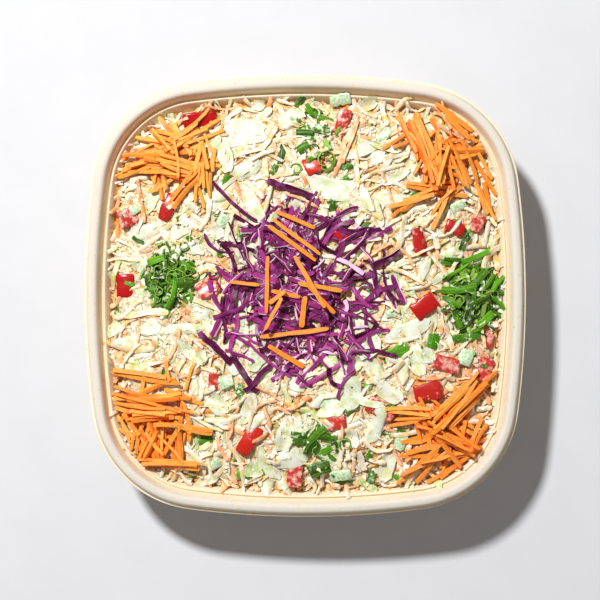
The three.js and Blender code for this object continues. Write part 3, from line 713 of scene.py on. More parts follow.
def make_peppers():
    strips = []
    for node in PEPPERS:
        number = int(node[-2:])
        x, y, heading, length, width, top = lying_box(node)
        s = (STATIONS - 0.5) * length
        bow = 0.35 if number in BOWED_PEPPERS else 0.12
        arch = -bow * (s / (length / 2)) ** 2 * length / 6
        path = np.stack([*on_line(x, y, heading, s), top - PEPPER_THICK / 2 + arch], 1)
        roll = pepper_draw.normal() * 0.12
        strips.append({
            "path": path,
            "lift": upward(path, (-math.sin(heading), math.cos(heading), roll)),
            "width": width * (0.86 + 0.14 * FULL) * (1 + 0.05 * pepper_draw.normal(size=len(s))),
            "thick": PEPPER_THICK * (0.85 + 0.15 * FULL),
            "looks": {"cup": -0.12, "tint": ORANGE_PEPPERS.get(number, pepper_draw.uniform(0, 0.3)),
                      "film": CLEAN_PEPPERS.get(number, 0.8)},
        })
        for f in np.linspace(-0.5, 0.5, int(width / CELL) + 2):
            for q in np.linspace(-0.5, 0.5, int(length / CELL) + 2):
                there = cell(*on_line(x, y, heading, q * length, f * width))
                laid[there] = max(laid[there], top + np.interp(q, STATIONS - 0.5, arch))
                in_view[there] = True
    make_strips("red_pepper_pieces", strips, red_pepper_flesh(), "red_pepper", *PEPPERS,
                sides=16, squareness=0.8, ruffle=(2.0, 9.0))


make_peppers()

# ---- Green onion and green pepper in the slaw ----
# Sliced green onion, in rings, half rings and flat lengths, and pale green diced pepper under dressing, all
# tossed in with the shreds. The larger ones show in these places: (x, y, heading in degrees, length, width).
GREEN_BITS = [
    (-54, 77, 75, 13, 6), (-115, 38, -30, 9, 3), (27, 80, 20, 12, 6), (28, 89, 10, 11, 4),
    (110, 38, 65, 12, 4), (101, 23, -5, 15, 6), (74, 69, 10, 12, 5), (62, -39, 20, 19, 9),
    (88, -31, 80, 10, 9), (111, -29, 10, 20, 7), (13, -45, 15, 14, 8), (45, -58, 70, 12, 6),
    (32, -78, 30, 10, 5), (28, -128, 0, 15, 5), (45, -110, 70, 8, 5), (46, -125, 80, 9, 6),
    (69, -97, -35, 12, 6), (111, -61, 30, 8, 4), (-95, -7, 75, 16, 7), (-129, -9, 70, 8, 4),
    (-97, -52, 80, 12, 5), (-43, -68, -60, 15, 7), (-69, -99, 10, 10, 7), (-39, -124, 10, 15, 6),
    (-3, -97, 50, 13, 6), (3, -104, -30, 12, 6), (-60, 30, 10, 9, 5), (-42, 39, 60, 13, 9),
    (40, 48, 0, 12, 5), (20, 64, 75, 12, 6), (-22, 86, 70, 10, 5), (-16, 98, 80, 14, 5),
]
PALE_DICE = [
    (54, 110, 50, 13, 8), (25, 136, 10, 14, 9), (106, 62, 30, 11, 7), (111, -42, 70, 11, 10),
    (-54, -59, 20, 10, 9), (-62, -116, 30, 9, 7), (15, -73, 0, 14, 8), (-56, 52, 60, 9, 8),
    (66, -100, 70, 12, 8), (44, -8, 40, 8, 7), (25, -124, 10, 14, 8), (60, -12, 10, 8, 6),
    (-116, 60, 30, 9, 6), (48, 12, 60, 8, 7),
]
SMALL_GREENS = 110  # places drawn for the small slices
SMALL_GREENS_WITHIN = 132
SMALL_GREENS_INSET = 19
bits_draw = np.random.default_rng(21)


def green_onion_leaf():
    """Green onion leaf: waxy and glossy, dark skin, pale cut edges, and fine veins along it."""
    material, tree, place, tint, film, across, painted_shade = start_material(
        "green onion", "tint", "film", "across", "deep", Roughness=0.42, Specular_IOR_Level=0.25,
        Subsurface_Weight=0.1, Subsurface_Radius=(0.5, 1.0, 0.2), Subsurface_Scale=1.5 * MM)
    edge = put(tree, "ShaderNodeMath", across, operation="ABSOLUTE")
    at_edge = put(tree, "ShaderNodeMapRange", edge, 0.86, 1.0, To_Max=0.6)
    veins = own_fibres(tree, tint, across, 2.0)
    veined = put(tree, "ShaderNodeMapRange", veins, 0.45, 0.65, To_Max=0.35)
    specks = put(tree, "ShaderNodeTexNoise", place, Scale=1 / (2.8 * MM), Detail=4.0)
    raised = put(tree, "ShaderNodeMath", film, 0.35, specks, operation="MULTIPLY_ADD")
    dressed = put(tree, "ShaderNodeMapRange", raised, 0.68, 0.85)
    relief = put(tree, "ShaderNodeMath", veins, 0.3, specks, operation="MULTIPLY_ADD")
    # Painted shade: the near-black coat grows with each point's depth in the pile.
    coats = [(tint, "#549C10"), (at_edge, "#AED45A"), (veined, "#8CC034"), (painted_shade, "#041C00"),
             (dressed, "#E9F0D2")]
    return finish_material(material, "#052800", coats, relief, strength=0.7, deep=0.5)


def pale_pepper_flesh():
    """Diced green pepper under dressing: translucent pale green with a milky film."""
    material, tree, place = start_material(
        "dressed green pepper", Roughness=0.3, Subsurface_Weight=0.3, Subsurface_Radius=(0.7, 1.0, 0.5),
        Subsurface_Scale=2.5 * MM)
    milky = put(tree, "ShaderNodeTexNoise", place, Scale=1 / (1.6 * MM), Detail=4.0)
    filmed = put(tree, "ShaderNodeMapRange", milky, 0.35, 0.7)
    return finish_material(material, "#9CC08C", [(filmed, "#E4ECD2")], milky, strength=0.5, deep=0.4)


ONION_GREEN = green_onion_leaf()


def make_green_bits():
    for x, y, _, _, width in GREEN_BITS + PALE_DICE:
        in_view[np.hypot(grid_x - x, grid_y - y) < 0.6 * width] = True
    bits = [
        lay(x, y, math.radians(degrees), length, width, 1.0, bits_draw, bend=bits_draw.normal() * 0.4,
            ends=0.85, firm=0.8, ragged=0.08, cup=bits_draw.uniform(-0.4, 0.0),
            tint=bits_draw.uniform(0.0, 0.7), film=bits_draw.uniform(0.0, 0.6))
        for x, y, degrees, length, width in GREEN_BITS
    ]
    for _ in range(SMALL_GREENS):
        x, y = bits_draw.uniform(-SMALL_GREENS_WITHIN, SMALL_GREENS_WITHIN, 2)
        if inset_of(x, y) > SMALL_GREENS_INSET:
            bits.append(lay(
                x, y, bits_draw.uniform(0, math.pi), bits_draw.uniform(2.5, 7), bits_draw.uniform(1.5, 3.5),
                0.8, bits_draw, ends=0.7, sink=0.1, cup=-0.4, tint=bits_draw.uniform(), film=0.3))
    make_strips("green_onion_bits", bits, ONION_GREEN, "green_onion", sides=12, squareness=0.5,
                ruffle=(1.8, 5.0))
    dice = [
        lay(x, y, math.radians(degrees), length, width, 3.5, bits_draw, limp=0.01, ends=0.8, ragged=0.06,
            sink=1.5, cup=-0.1)
        for x, y, degrees, length, width in PALE_DICE
    ]
    make_strips("green_pepper_dice", dice, pale_pepper_flesh(), "green_onion", sides=12, squareness=0.6,
                ruffle=(1.0, 6.0))


make_green_bits()

# ---- The top of the slaw ----
# The last shreds fall over the peppers and onion, and a few broad leaf pieces lie on top in these places:
# (x, y, heading in degrees, length, width).
BROAD_LEAVES = [
    (-46, 112, 10, 34, 20), (17, 75, -12, 46, 15), (65, 64, -8, 38, 13), (-87, -23, 4, 38, 9),
    (-10, -112, 15, 26, 15), (28, -66, 80, 24, 20), (72, -23, 20, 30, 12), (-40, 88, 35, 22, 14),
    (-30, 20, 10, 20, 10), (-110, 44, 15, 26, 12), (60, 10, 80, 26, 10), (-8, 124, 35, 24, 15),
    (49, -88, 70, 26, 12), (-22, -52, 20, 20, 14), (86, 10, 20, 34, 7), (38, 100, 20, 30, 8),
    (-30, -84, 40, 20, 9), (120, 78, 60, 24, 8), (-120, -30, 15, 26, 8),
]
SLAW_LOOKS = {  # the vegetable, the colours of a pale and a deep shred, and of the dressing on it
    "rib_shreds": ("white cabbage rib", "#EFDFB0", "#E6BC6A", "#EAE6D8"),
    "leaf_shreds": ("white cabbage leaf", "#ECD8A0", "#E0B45A", "#EAE4D2"),
    "green_shreds": ("green cabbage leaf", "#CCD48C", "#A2BE54", "#E0E4C0"),
    "leaf_pieces": ("cabbage leaf pieces", "#DEDAAE", "#B8CA80", "#E2E3D2"),
    "broad_leaves": ("outer cabbage leaf", "#DCDCC0", "#C2CE96", "#DEE0D0"),
    "rib_crumbs": ("cabbage crumbs", "#EFDFB0", "#E6BC6E", "#EAE6D8"),
    "dressed_carrot": ("carrot", "#F4AC76", "#EE8638", "#F4C8A2"),
}


def lay_broad_leaves():
    for x, y, degrees, length, width in BROAD_LEAVES:
        slaw["broad_leaves"].append(lay_sheet(
            x, y, math.radians(degrees), length, 0.9 * width, 1.2, slaw_draw, rows=16, columns=10, stiff=8,
            bend=slaw_draw.normal() * 0.25, curl=slaw_draw.uniform(-2.5, 0.5),
            tint=slaw_draw.uniform(0.0, 0.7)))
        in_view[np.hypot(grid_x - x, grid_y - y) < 0.4 * width] = True


lay_crumbs(SLAW_CRUMBS)
lay_broad_leaves()
lay_slaw(SLAW_PIECES[1], SLAW_RISES[1])


def cut_in_dressing(kind):
    """Cut vegetable wet with dressing: creamy, slightly see-through, glossy, with painted amber shade deeper in
    the heap.
    """
    vegetable, pale, full, filmed = SLAW_LOOKS[kind]
    material, tree, place, tint, painted_shade, across = start_material(
        vegetable + " in dressing", "tint", "deep", "across", Roughness=0.36, Specular_IOR_Level=0.3,
        Subsurface_Weight=0.3, Subsurface_Radius=(1.0, 0.85, 0.7), Subsurface_Scale=1.5 * MM)
    fibres = own_fibres(tree, tint, across, 1.6)
    toned = put(tree, "ShaderNodeMapRange", fibres, 0.35, 0.65, To_Min=-0.35, To_Max=0.35)
    shade = put(tree, "ShaderNodeMath", tint, toned, operation="ADD", use_clamp=True)
    cream = put(tree, "ShaderNodeTexNoise", place, Scale=1 / (5 * MM), Detail=5.0, Roughness=0.6)
    coated = put(tree, "ShaderNodeMapRange", cream, 0.40, 0.56)
    vein = fibres
    if kind in ("leaf_pieces", "broad_leaves"):
        net = put(
            tree, "ShaderNodeTexVoronoi", place, Scale=1 / (6 * MM), Randomness=1.0,
            feature="DISTANCE_TO_EDGE")
        vein = put(tree, "ShaderNodeMapRange", net, From_Max=0.12, To_Min=1.0, To_Max=0.0)
    relief = put(tree, "ShaderNodeMath", vein, 0.1, cream, operation="MULTIPLY_ADD")
    # Painted shade: the amber coat grows with each point's depth in the heap.
    coats = [(shade, full), (coated, filmed), (painted_shade, "#DC922C")]
    return finish_material(material, pale, coats, relief, strength=0.5, deep=0.8)


SLAW_CUTS = {kind: cut_in_dressing(kind) for kind in SLAW_LOOKS}


def soften(field, cells, passes=2):
    """A grid of heights, averaged over a number of cells each way."""
    kernel = np.ones(cells) / cells
    average = lambda line: np.convolve(np.pad(line, cells // 2, "edge"), kernel, "valid")
    for axis in (0, 1) * passes:
        field = np.apply_along_axis(average, axis, field)
    return field


def make_slaw_shreds():
    cover = np.maximum(laid, soften(laid, 9))
    for kind, strips in slaw.items():
        lowest = [(laid[cell(*strip["path"][:, :2].T)] - strip["path"][:, 2]).min() for strip in strips]
        seen = [strip for strip, below in zip(strips, lowest) if below < BURIED]
        paint_depth_shade(seen, cover, 3.5)
        if kind in ("leaf_pieces", "broad_leaves"):
            make_sheets("slaw_" + kind, seen, SLAW_CUTS[kind], "slaw")
        elif kind == "leaf_shreds":
            make_strips("slaw_" + kind, seen, SLAW_CUTS[kind], "slaw", squareness=0.75, ruffle=(2.2, 4.0))
        else:
            make_strips("slaw_" + kind, seen, SLAW_CUTS[kind], "slaw", sides=6, squareness=0.45,
                        ruffle=(2.2, 4.0))


make_slaw_shreds()

# ---- Dabs of dressing ----
# Thick mayonnaise dressing clings to the shreds in small dabs, left where the stirring put them. Each is
# longer than wide, 1 to 4 mm long and 0.5 to 1.5 mm high.
DABS = 700  # places drawn for them
DAB_HEIGHTS = (0.5, 1.5)


def dab_tree():
    tree, asked = start_tree(
        "dabs on points", "Dabs", Places="Geometry", Smallest="Float", Largest="Float", Material="Material")
    dab = put(tree, "GeometryNodeMeshIcoSphere", Radius=1.0, Subdivisions=2)
    turn = put(
        tree, "FunctionNodeRandomValue", (-0.4, -0.4, 0.0), (0.4, 0.4, 2 * math.pi), Seed=3,
        data_type="FLOAT_VECTOR")
    size = put(
        tree, "FunctionNodeRandomValue", asked["Smallest"], asked["Largest"], Seed=8, data_type="FLOAT")
    flat = put(tree, "ShaderNodeVectorMath", (1.3, 0.8, 0.5), Scale=size, operation="SCALE")
    placed = put(
        tree, "GeometryNodeInstanceOnPoints", asked["Places"], Instance=dab, Rotation=turn, Scale=flat)
    real = put(tree, "GeometryNodeRealizeInstances", placed)
    noise = put(tree, "ShaderNodeTexNoise", Scale=1 / (1.6 * MM), Detail=1.0)
    swing = put(tree, "ShaderNodeVectorMath", noise.outputs["Color"], (0.5,) * 3, operation="SUBTRACT")
    push = put(tree, "ShaderNodeVectorMath", swing, Scale=asked["Largest"], operation="SCALE")
    shaped = put(tree, "GeometryNodeSetPosition", real, Offset=push)
    smooth = put(tree, "GeometryNodeSetShadeSmooth", shaped)
    finished = put(tree, "GeometryNodeSetMaterial", smooth, Material=asked["Material"])
    put(tree, "NodeGroupOutput", finished)
    return tree


def make_dabs():
    x, y = slaw_draw.uniform(-TRAY_HALF, TRAY_HALF, (2, DABS))
    inside = (inset_of(x, y) > SLAW_EDGE + 3) & ~in_view[cell(x, y)]
    x, y = x[inside], y[inside]
    mesh = bpy.data.meshes.new("dab_places")
    mesh.from_pydata(np.stack([x, y, laid[cell(x, y)] - 0.2], 1) * MM, [], [])
    # The dressing is opaque, pale cream and smooth, with a wet gloss.
    mayonnaise, *_ = start_material(
        "thick dressing", Base_Color=colour("#FBF3DE"), Roughness=0.25, Subsurface_Weight=0.4,
        Subsurface_Radius=(1.0, 0.8, 0.5), Subsurface_Scale=1.5 * MM)
    asked = {"Smallest": DAB_HEIGHTS[0] * MM, "Largest": DAB_HEIGHTS[1] * MM, "Material": mayonnaise}
    add_piece("dressing_dabs", run_tree("dressing_dabs", mesh, dab_tree(), asked), "slaw")


make_dabs()

# ---- The slaw's filling ----
# Between the shreds the dressing and the finest cuttings fill the heap to a little below its top. The filling
# reaches the tray's wall and floor.
CORE_GAP = 0.3
CORE_RINGS = 84
CORE_STEPS = 240
POOL_DEPTH = 1.7  # how far the filling lies below the shreds' mean top
POOL_SWING = 0.8
EAST_FALL = 0.005  # how much lower the filling is with every millimetre to the east
EDGE_RINGS = 0.97  # beyond this share of the way out the filling stays below the slaw's edge


def slaw_filling():
    """Dressing and the finest shreds: creamy ridges, and amber down between them, partly dressing pooled there
    and partly painted shade.
    """
    material, tree, place, depth = start_material(
        "dressing and fine cuttings", "depth", Roughness=0.4, Specular_IOR_Level=0.3, Subsurface_Weight=0.3,
        Subsurface_Radius=(1.0, 0.85, 0.7), Subsurface_Scale=1.5 * MM)
    blots = put(tree, "ShaderNodeTexNoise", place, Scale=1 / (3.5 * MM), Detail=3.0)
    pool_shade_depth = put(tree, "ShaderNodeMath", blots, 4.0, depth, operation="MULTIPLY_ADD")
    pool_and_shade = put(tree, "ShaderNodeMapRange", pool_shade_depth, 2.0, 2.9)
    # The finest shreds are 0.5 mm wide. They are drawn as ridges of 1 mm, which still show.
    tangle = put(tree, "ShaderNodeTexNoise", place, Scale=1 / (5 * MM), Detail=2.0)
    off = put(tree, "ShaderNodeMath", tangle, 0.5, operation="SUBTRACT")
    away = put(tree, "ShaderNodeMath", off, operation="ABSOLUTE")
    ridges = put(tree, "ShaderNodeMapRange", away, From_Max=0.06, To_Min=1.0, To_Max=0.0)
    # The amber coat is darker in the low places: partly dressing pooled there, partly painted shade.
    coats = [(pool_and_shade, "#CC8A34"), (ridges, "#F0E6CA")]
    return finish_material(material, "#F2E6C8", coats, ridges, strength=0.9, deep=1.2)


def make_slaw_core():
    pools = np.sin(grid_x / 7 + 2) * np.sin(grid_y / 8)
    pools = pools + np.sin((grid_x + 2 * grid_y) / 11) * np.cos(grid_x / 9)
    level = soften(laid, 7) - POOL_DEPTH + POOL_SWING * pools - EAST_FALL * grid_x
    directions = np.linspace(0, 2 * math.pi, CORE_STEPS, endpoint=False)
    wall_inset = lambda z: np.interp(-z, -WALL[:, 1], WALL[:, 0])
    rings, depths = [], []
    edge_x, edge_y = outline(directions, wall_inset(SLAW_EDGE_Z) + 1.6)
    for share in np.linspace(0.012, 1, CORE_RINGS):
        x, y = edge_x * share, edge_y * share
        z = level[cell(x, y)]
        if share > EDGE_RINGS:
            z = np.minimum(z, SLAW_EDGE_Z + 1)
        rings.append(np.stack([x, y, z], 1))
        depths.append(np.clip(0.35 - 0.35 * pools[cell(x, y)], 0, 1))
    walls = [(wall_inset(height) + CORE_GAP + 0.6, height) for height in (SLAW_EDGE_Z - 4, 30.0, 9.0, 4.0)]
    for inset, height in [*walls, (46.0, SKIN + CORE_GAP)]:
        rings.append(np.stack([*outline(directions, inset), np.full(CORE_STEPS, height)], 1))
        depths.append(np.ones(CORE_STEPS))
    rings.append(np.array([(0, 0, level[cell(0, 0)]), (0, 0, SKIN + CORE_GAP)]))
    depths.append([0.5, 1.0])
    mesh = bpy.data.meshes.new("slaw_filling")
    mesh.from_pydata(np.concatenate(rings) * MM, [], ring_faces(len(rings) - 1, CORE_STEPS))
    mark_points(mesh, "depth", np.concatenate(depths))
    mesh.shade_smooth()
    mesh.materials.append(slaw_filling())
    add_piece("slaw_filling", mesh, "slaw", "slaw")


make_slaw_core()

# ---- Green onion piles ----
# Four small piles of green onion, cut across: fine curls in the west pile, half rolled leaf in the east one,
# and a few larger pieces in the others. Slices of the tube stay rings.
# A pile is (x, y, across, along, pieces, their lengths, their widths, share of rings, palest tint).
GREEN_PILES = {
    "green_onion_w": (-94, 12, 33, 39, 170, (4, 10), (1.3, 3.4), 0.16, 1),
    "green_onion_e": (116, -1, 36, 42, 120, (7, 17), (1.2, 3.6), 0.12, 0.7),
    "green_onion_n": (6, 112, 22, 46, 12, (5, 9), (1.8, 4.0), 0.4, 1),
    "green_onion_s": (11, -107, 24, 34, 10, (6, 11), (2.0, 4.5), 0.3, 1),
}
GREEN_LEAVES = {  # the large ones on each pile: (x, y, heading in degrees, length, width, tint, film)
    "green_onion_w": [
        (-89, 1, 72, 20, 6, 0.8, 0), (-82, 9, 0, 11, 8, 0.2, 0), (-102, 25, 20, 12, 6, 0.9, 0),
        (-88, 29, 60, 12, 5, 0.5, 1), (-80, 20, -40, 12, 4, 0.7, 0)],
    "green_onion_e": [
        (103, 24, -5, 14, 5, 0.1, 0), (118, 27, 22, 22, 4, 0.9, 0), (106, 17, 30, 24, 3.5, 1.0, 0),
        (121, 13, 50, 15, 6, 0.3, 0), (106, 4, 5, 25, 6, 0.6, 0), (128, 9, 55, 14, 5, 0.5, 0),
        (133, 9, 50, 14, 4, 0.8, 0), (101, -4, -30, 14, 4, 0.6, 0), (113, -11, 75, 18, 7, 0.0, 0.5),
        (125, -16, 40, 14, 6, 0.9, 0), (135, -5, -40, 12, 4, 0.7, 0), (110, 37, 60, 12, 5, 0.0, 0),
        (120, -4, 25, 16, 5, 0.1, 0)],
    "green_onion_n": [
        (0, 112, 0, 12, 7, 0.1, 0), (10, 115, -15, 17, 7, 0.3, 0.7), (10, 124, -28, 21, 5, 0.6, 0),
        (3, 129, 110, 9, 4, 0.5, 0), (-5, 124, 10, 10, 6, 1.0, 1), (-1, 102, 30, 9, 7, 0.4, 0),
        (-4, 135, 50, 10, 5, 0.1, 0)],
    "green_onion_s": [
        (8, -94, 48, 15, 7, 0.3, 0), (-4, -96, -5, 11, 6, 0.2, 0.5), (14, -97, -10, 13, 7, 0.2, 0),
        (3, -104, 60, 11, 6, 0.1, 0), (15, -106, 30, 8, 5, 0.8, 0), (10, -119, 20, 15, 11, 0.1, 0.2)],
}
GREEN_RINGS = {"green_onion_n": [(17, 87, 8), (-3, 89, 7), (13, 99, 11)], "green_onion_s": [(27, -98, 8)]}
green_draw = np.random.default_rng(5)
GOLDEN_TURN = math.pi * (3 - math.sqrt(5))


def places_in(x, y, across, along, count, draw, loose=0.0, crowding=0.5):
    """Places in an ellipse, from its rim to its middle, as a pile is heaped up. A half is even crowding."""
    for i in range(count, 0, -1):
        out = ((i - 0.5) / count) ** crowding
        yield (x + across / 2 * out * math.cos(i * GOLDEN_TURN) + loose * draw.normal(),
               y + along / 2 * out * math.sin(i * GOLDEN_TURN) + loose * draw.normal())


def onion_ring(x, y, wide):
    """A slice of the onion's tube, standing open on its cut."""
    round_it = green_draw.uniform(4.6, 6.0)
    return on_edge(lay(
        x, y, green_draw.uniform(0, 2 * math.pi), round_it * wide / 2, green_draw.uniform(0.7, 1.1),
        green_draw.uniform(1.8, 3.4), green_draw, bend=round_it, ends=0.9, firm=0.4, sink=1.0,
        roll=green_draw.normal() * 0.5, tint=green_draw.beta(1.5, 1.5)))


def make_green_piles():
    for node, (x, y, across, along, count, lengths, widths, rings, palest) in GREEN_PILES.items():
        strips = []
        for px, py in places_in(x, y, across, along, count, green_draw, loose=2.0):
            if green_draw.uniform() < rings:
                strips.append(onion_ring(px, py, green_draw.uniform(4, 7)))
                continue
            leaf = lay(
                px, py, green_draw.uniform(0, math.pi), green_draw.uniform(*lengths),
                green_draw.uniform(*widths), green_draw.uniform(0.5, 0.8), green_draw,
                bend=green_draw.standard_t(3) * 0.8, firm=0.35, ends=green_draw.uniform(0.4, 0.9),
                roll=green_draw.normal() * 0.5, cup=green_draw.uniform(-1.0, 0.6),
                tint=green_draw.beta(0.6, 1.2) * palest, film=green_draw.beta(0.45, 1.6))
            strips.append(on_edge(leaf) if green_draw.uniform() < 0.25 else leaf)
        for px, py, degrees, length, width, tint, film in GREEN_LEAVES[node]:
            strips.append(lay(
                px, py, math.radians(degrees), length, 0.85 * width, 0.5, green_draw,
                bend=green_draw.normal() * 0.3, firm=0.5, ends=0.95, roll=green_draw.normal() * 0.3,
                ragged=0.04, cup=green_draw.uniform(-0.9, 0.3) * 4 / width, tint=tint, film=film))
        for px, py, wide in GREEN_RINGS.get(node, []):
            strips.append(onion_ring(px, py, wide))
        make_strips(node + "_leaves", strips, ONION_GREEN, "green_onion", node, ruffle=(1.3, 5.0), shade=5.0)


make_green_piles()

# ---- Red cabbage ----
# Red cabbage cut in shreds of 3 to 5 mm and tossed loosely in the middle: deep violet skin, with white to
# lilac flesh at the cut edges. Some shreds lie apart, each from one end to the other with its bend.
RED_HEAP = (-3, 3, 116, 124)
RED_SHREDS = 188
RED_STRANDS = [  # (x, y, x, y, bend, width)
    (-65, 78, -34, 49, 0.4, 2.4), (-26, 79, 6, 68, -0.15, 4.5), (-72, 39, -50, 25, 1.6, 2.0),
    (-44, 45, -26, 44, 0.0, 4.0), (-26, 69, -26, 41, 0.0, 4.5), (33, 36, 60, 46, 0.25, 4.0),
    (45, 20, 66, 30, 0.5, 4.5), (-72, -25, -50, -46, -0.3, 4.5), (-50, -42, -33, -67, 0.15, 5.0),
    (-63, -28, -50, 2, 0.2, 4.2), (31, -54, 32, -34, 0.0, 4.8), (-3, -64, 30, -44, 0.5, 3.0),
    (-6, -60, 14, -40, 0.2, 4.0), (50, 10, 64, -8, -0.8, 2.6), (-55, 12, -28, 14, 0.6, 3.4),
    (18, -14, 46, -44, -0.2, 4.4), (10, 66, 2, 46, -0.7, 3.2), (-20, 58, 8, 66, 0.4, 3.0),
    (60, 14, 68, -6, 0.1, 4.0), (22, 58, 26, 40, 0.2, 3.6), (40, -8, 46, -40, 0.3, 3.2),
]
red_draw = np.random.default_rng(17)
LOOSE_CARROTS = [name for name in sorted(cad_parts) if name.startswith("loose_carrot")]
ON_LEDGE, ON_HEAP = LOOSE_CARROTS[:2], LOOSE_CARROTS[2:]
UNDERSIDE = 1.1  # from a single stick's middle line down to its underside
CLEAR_BELOW = 1.0  # from its middle line down to where shreds may lie
PRESSED_IN = 0.8  # how far what lies below it and a stick may press into each other
GAP_LEFT = 1.2  # the widest gap that is left under a single stick


def stick_ends(node):
    """The two ends of the middle line of a solid stick."""
    corners = [vertex.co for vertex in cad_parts[node].data.vertices]
    corners = np.unique(np.round(corners, 5), axis=0) / MM
    axis = np.linalg.svd(corners - corners.mean(0))[2][0]
    axis *= math.copysign(1, axis[0] + 0.01 * axis[1])
    along = corners @ axis
    return corners[along < along.min() + 0.6].mean(0), corners[along > along.max() - 0.6].mean(0)


# The single carrot sticks come last and lie in full view, so no shred is laid higher than their undersides.
under_sticks = np.full(laid.shape, np.inf)
for loose in LOOSE_CARROTS:
    foot, tip = stick_ends(loose)
    for share in np.linspace(0, 1, 60):
        spot = foot + (tip - foot) * share
        row, column = cell(*spot[:2])
        near = under_sticks[row - 2 : row + 3, column - 2 : column + 3]
        near[:] = np.minimum(near, spot[2] - CLEAR_BELOW)


def lay_clear(*place, firm, **how):
    """Lays a strip, loosely or pressed down, or not at all where it would cover one of the single sticks."""
    before = laid.copy()
    for firmness, sink in ((firm, 0.3), (0.0, 0.3), (0.0, 2.0)):
        strip = lay(*place, firm=firmness, sink=sink, **how)
        if not ((laid > before) & (laid > under_sticks + PRESSED_IN)).any():
            return strip
        laid[:] = before


def gaps_under(loose, rounds=60):
    """Places under a single stick where nothing carries it yet, the widest gap first, and its heading."""
    foot, tip = stick_ends(loose)
    heading = math.atan2(tip[1] - foot[1], tip[0] - foot[0])
    line = foot + (tip - foot) * np.linspace(0.1, 0.9, 20)[:, None]
    for _ in range(rounds):
        gap = line[:, 2] - UNDERSIDE - laid[cell(line[:, 0], line[:, 1])]
        if gap.max() < GAP_LEFT:
            break
        yield *line[int(np.argmax(gap)), :2], heading


def red_cabbage_leaf():
    """Red cabbage: a waxy violet skin with a soft sheen, and lilac to white flesh along the cut edges."""
    material, tree, place, tint, film, across, painted_shade = start_material(
        "red cabbage", "tint", "film", "across", "deep", Roughness=0.35, Specular_IOR_Level=0.25,
        Subsurface_Weight=0.12, Subsurface_Radius=(1.0, 0.3, 0.9), Subsurface_Scale=1.5 * MM)
    streaks = own_fibres(tree, tint, across, 1.8)
    streaked = put(tree, "ShaderNodeMapRange", streaks, 0.45, 0.65, To_Max=0.7)
    bloom = put(tree, "ShaderNodeTexNoise", place, Scale=1 / (6 * MM), Detail=4.0)
    waxy = put(tree, "ShaderNodeMapRange", bloom, 0.5, 0.8)
    one_side = put(tree, "ShaderNodeMath", across, film, operation="MULTIPLY")
    at_edge = put(tree, "ShaderNodeMapRange", one_side, 0.5, 0.8)
    # Painted shade: the near-black coat grows with each point's depth in the heap.
    coats = [(tint, "#BC4094"), (streaked, "#440228"), (waxy, "#A64C90"), (at_edge, "#E8BCD4"),
             (painted_shade, "#2C0014")]
    return finish_material(material, "#440028", coats, bloom, strength=0.4, deep=0.3)


def make_red_cabbage():
    strips = []
    for x0, y0, x1, y1, bend, width in RED_STRANDS:
        strips.append(lay_clear(
            (x0 + x1) / 2, (y0 + y1) / 2, math.atan2(y1 - y0, x1 - x0), math.hypot(x1 - x0, y1 - y0), width,
            1.3, red_draw, bend=bend, firm=0.7, ends=0.6, cup=red_draw.normal() * 0.3,
            tint=red_draw.uniform(), film=red_draw.uniform(-1.3, 1.3)))
    for x, y in places_in(*RED_HEAP, RED_SHREDS, red_draw, loose=4.0, crowding=0.68):
        shred = lay_clear(
            x, y, red_draw.uniform(0, math.pi), red_draw.uniform(13, 40), red_draw.uniform(1.2, 3.8),
            red_draw.uniform(0.7, 1.2), red_draw, bend=red_draw.standard_t(3) * 0.6,
            wave=red_draw.normal() * 0.2, limp=red_draw.uniform(0.01, 0.03), firm=0.4,
            ends=red_draw.uniform(0.5, 1.0), ragged=0.06, roll=red_draw.normal() * 0.45,
            cup=red_draw.normal() * 0.35, tint=red_draw.beta(0.6, 1.0), film=red_draw.uniform(-1.3, 1.3))
        if shred:
            strips.append(on_edge(shred) if red_draw.uniform() < TURNED else shred)
    for loose in ON_HEAP:
        for x, y, _ in gaps_under(loose):
            strips.append(lay_clear(
                x, y, red_draw.uniform(0, math.pi), red_draw.uniform(12, 24), red_draw.uniform(2.5, 4.5), 1.2,
                red_draw, bend=red_draw.normal() * 0.6, firm=0.6, roll=red_draw.normal() * 0.2,
                tint=red_draw.beta(0.6, 1.0), film=red_draw.uniform(-1.3, 1.3)))
    make_strips("red_cabbage_shreds", strips, red_cabbage_leaf(), "red_cabbage", "red_cabbage",
                ruffle=(1.8, 6.0), shade=3.5)


make_red_cabbage()

# ---- Carrot ----
# Raw carrot from a julienne cutter, in sticks 3 mm square: four loose piles in the corners, and single sticks
# on the red cabbage and on the tray's ledge.
CARROT_SIDE = 2.7
CARROT_RAGGED = 0.05
LIFT_MOST = 2.5  # how far a single stick may be lifted from its solid's place by what lies below it
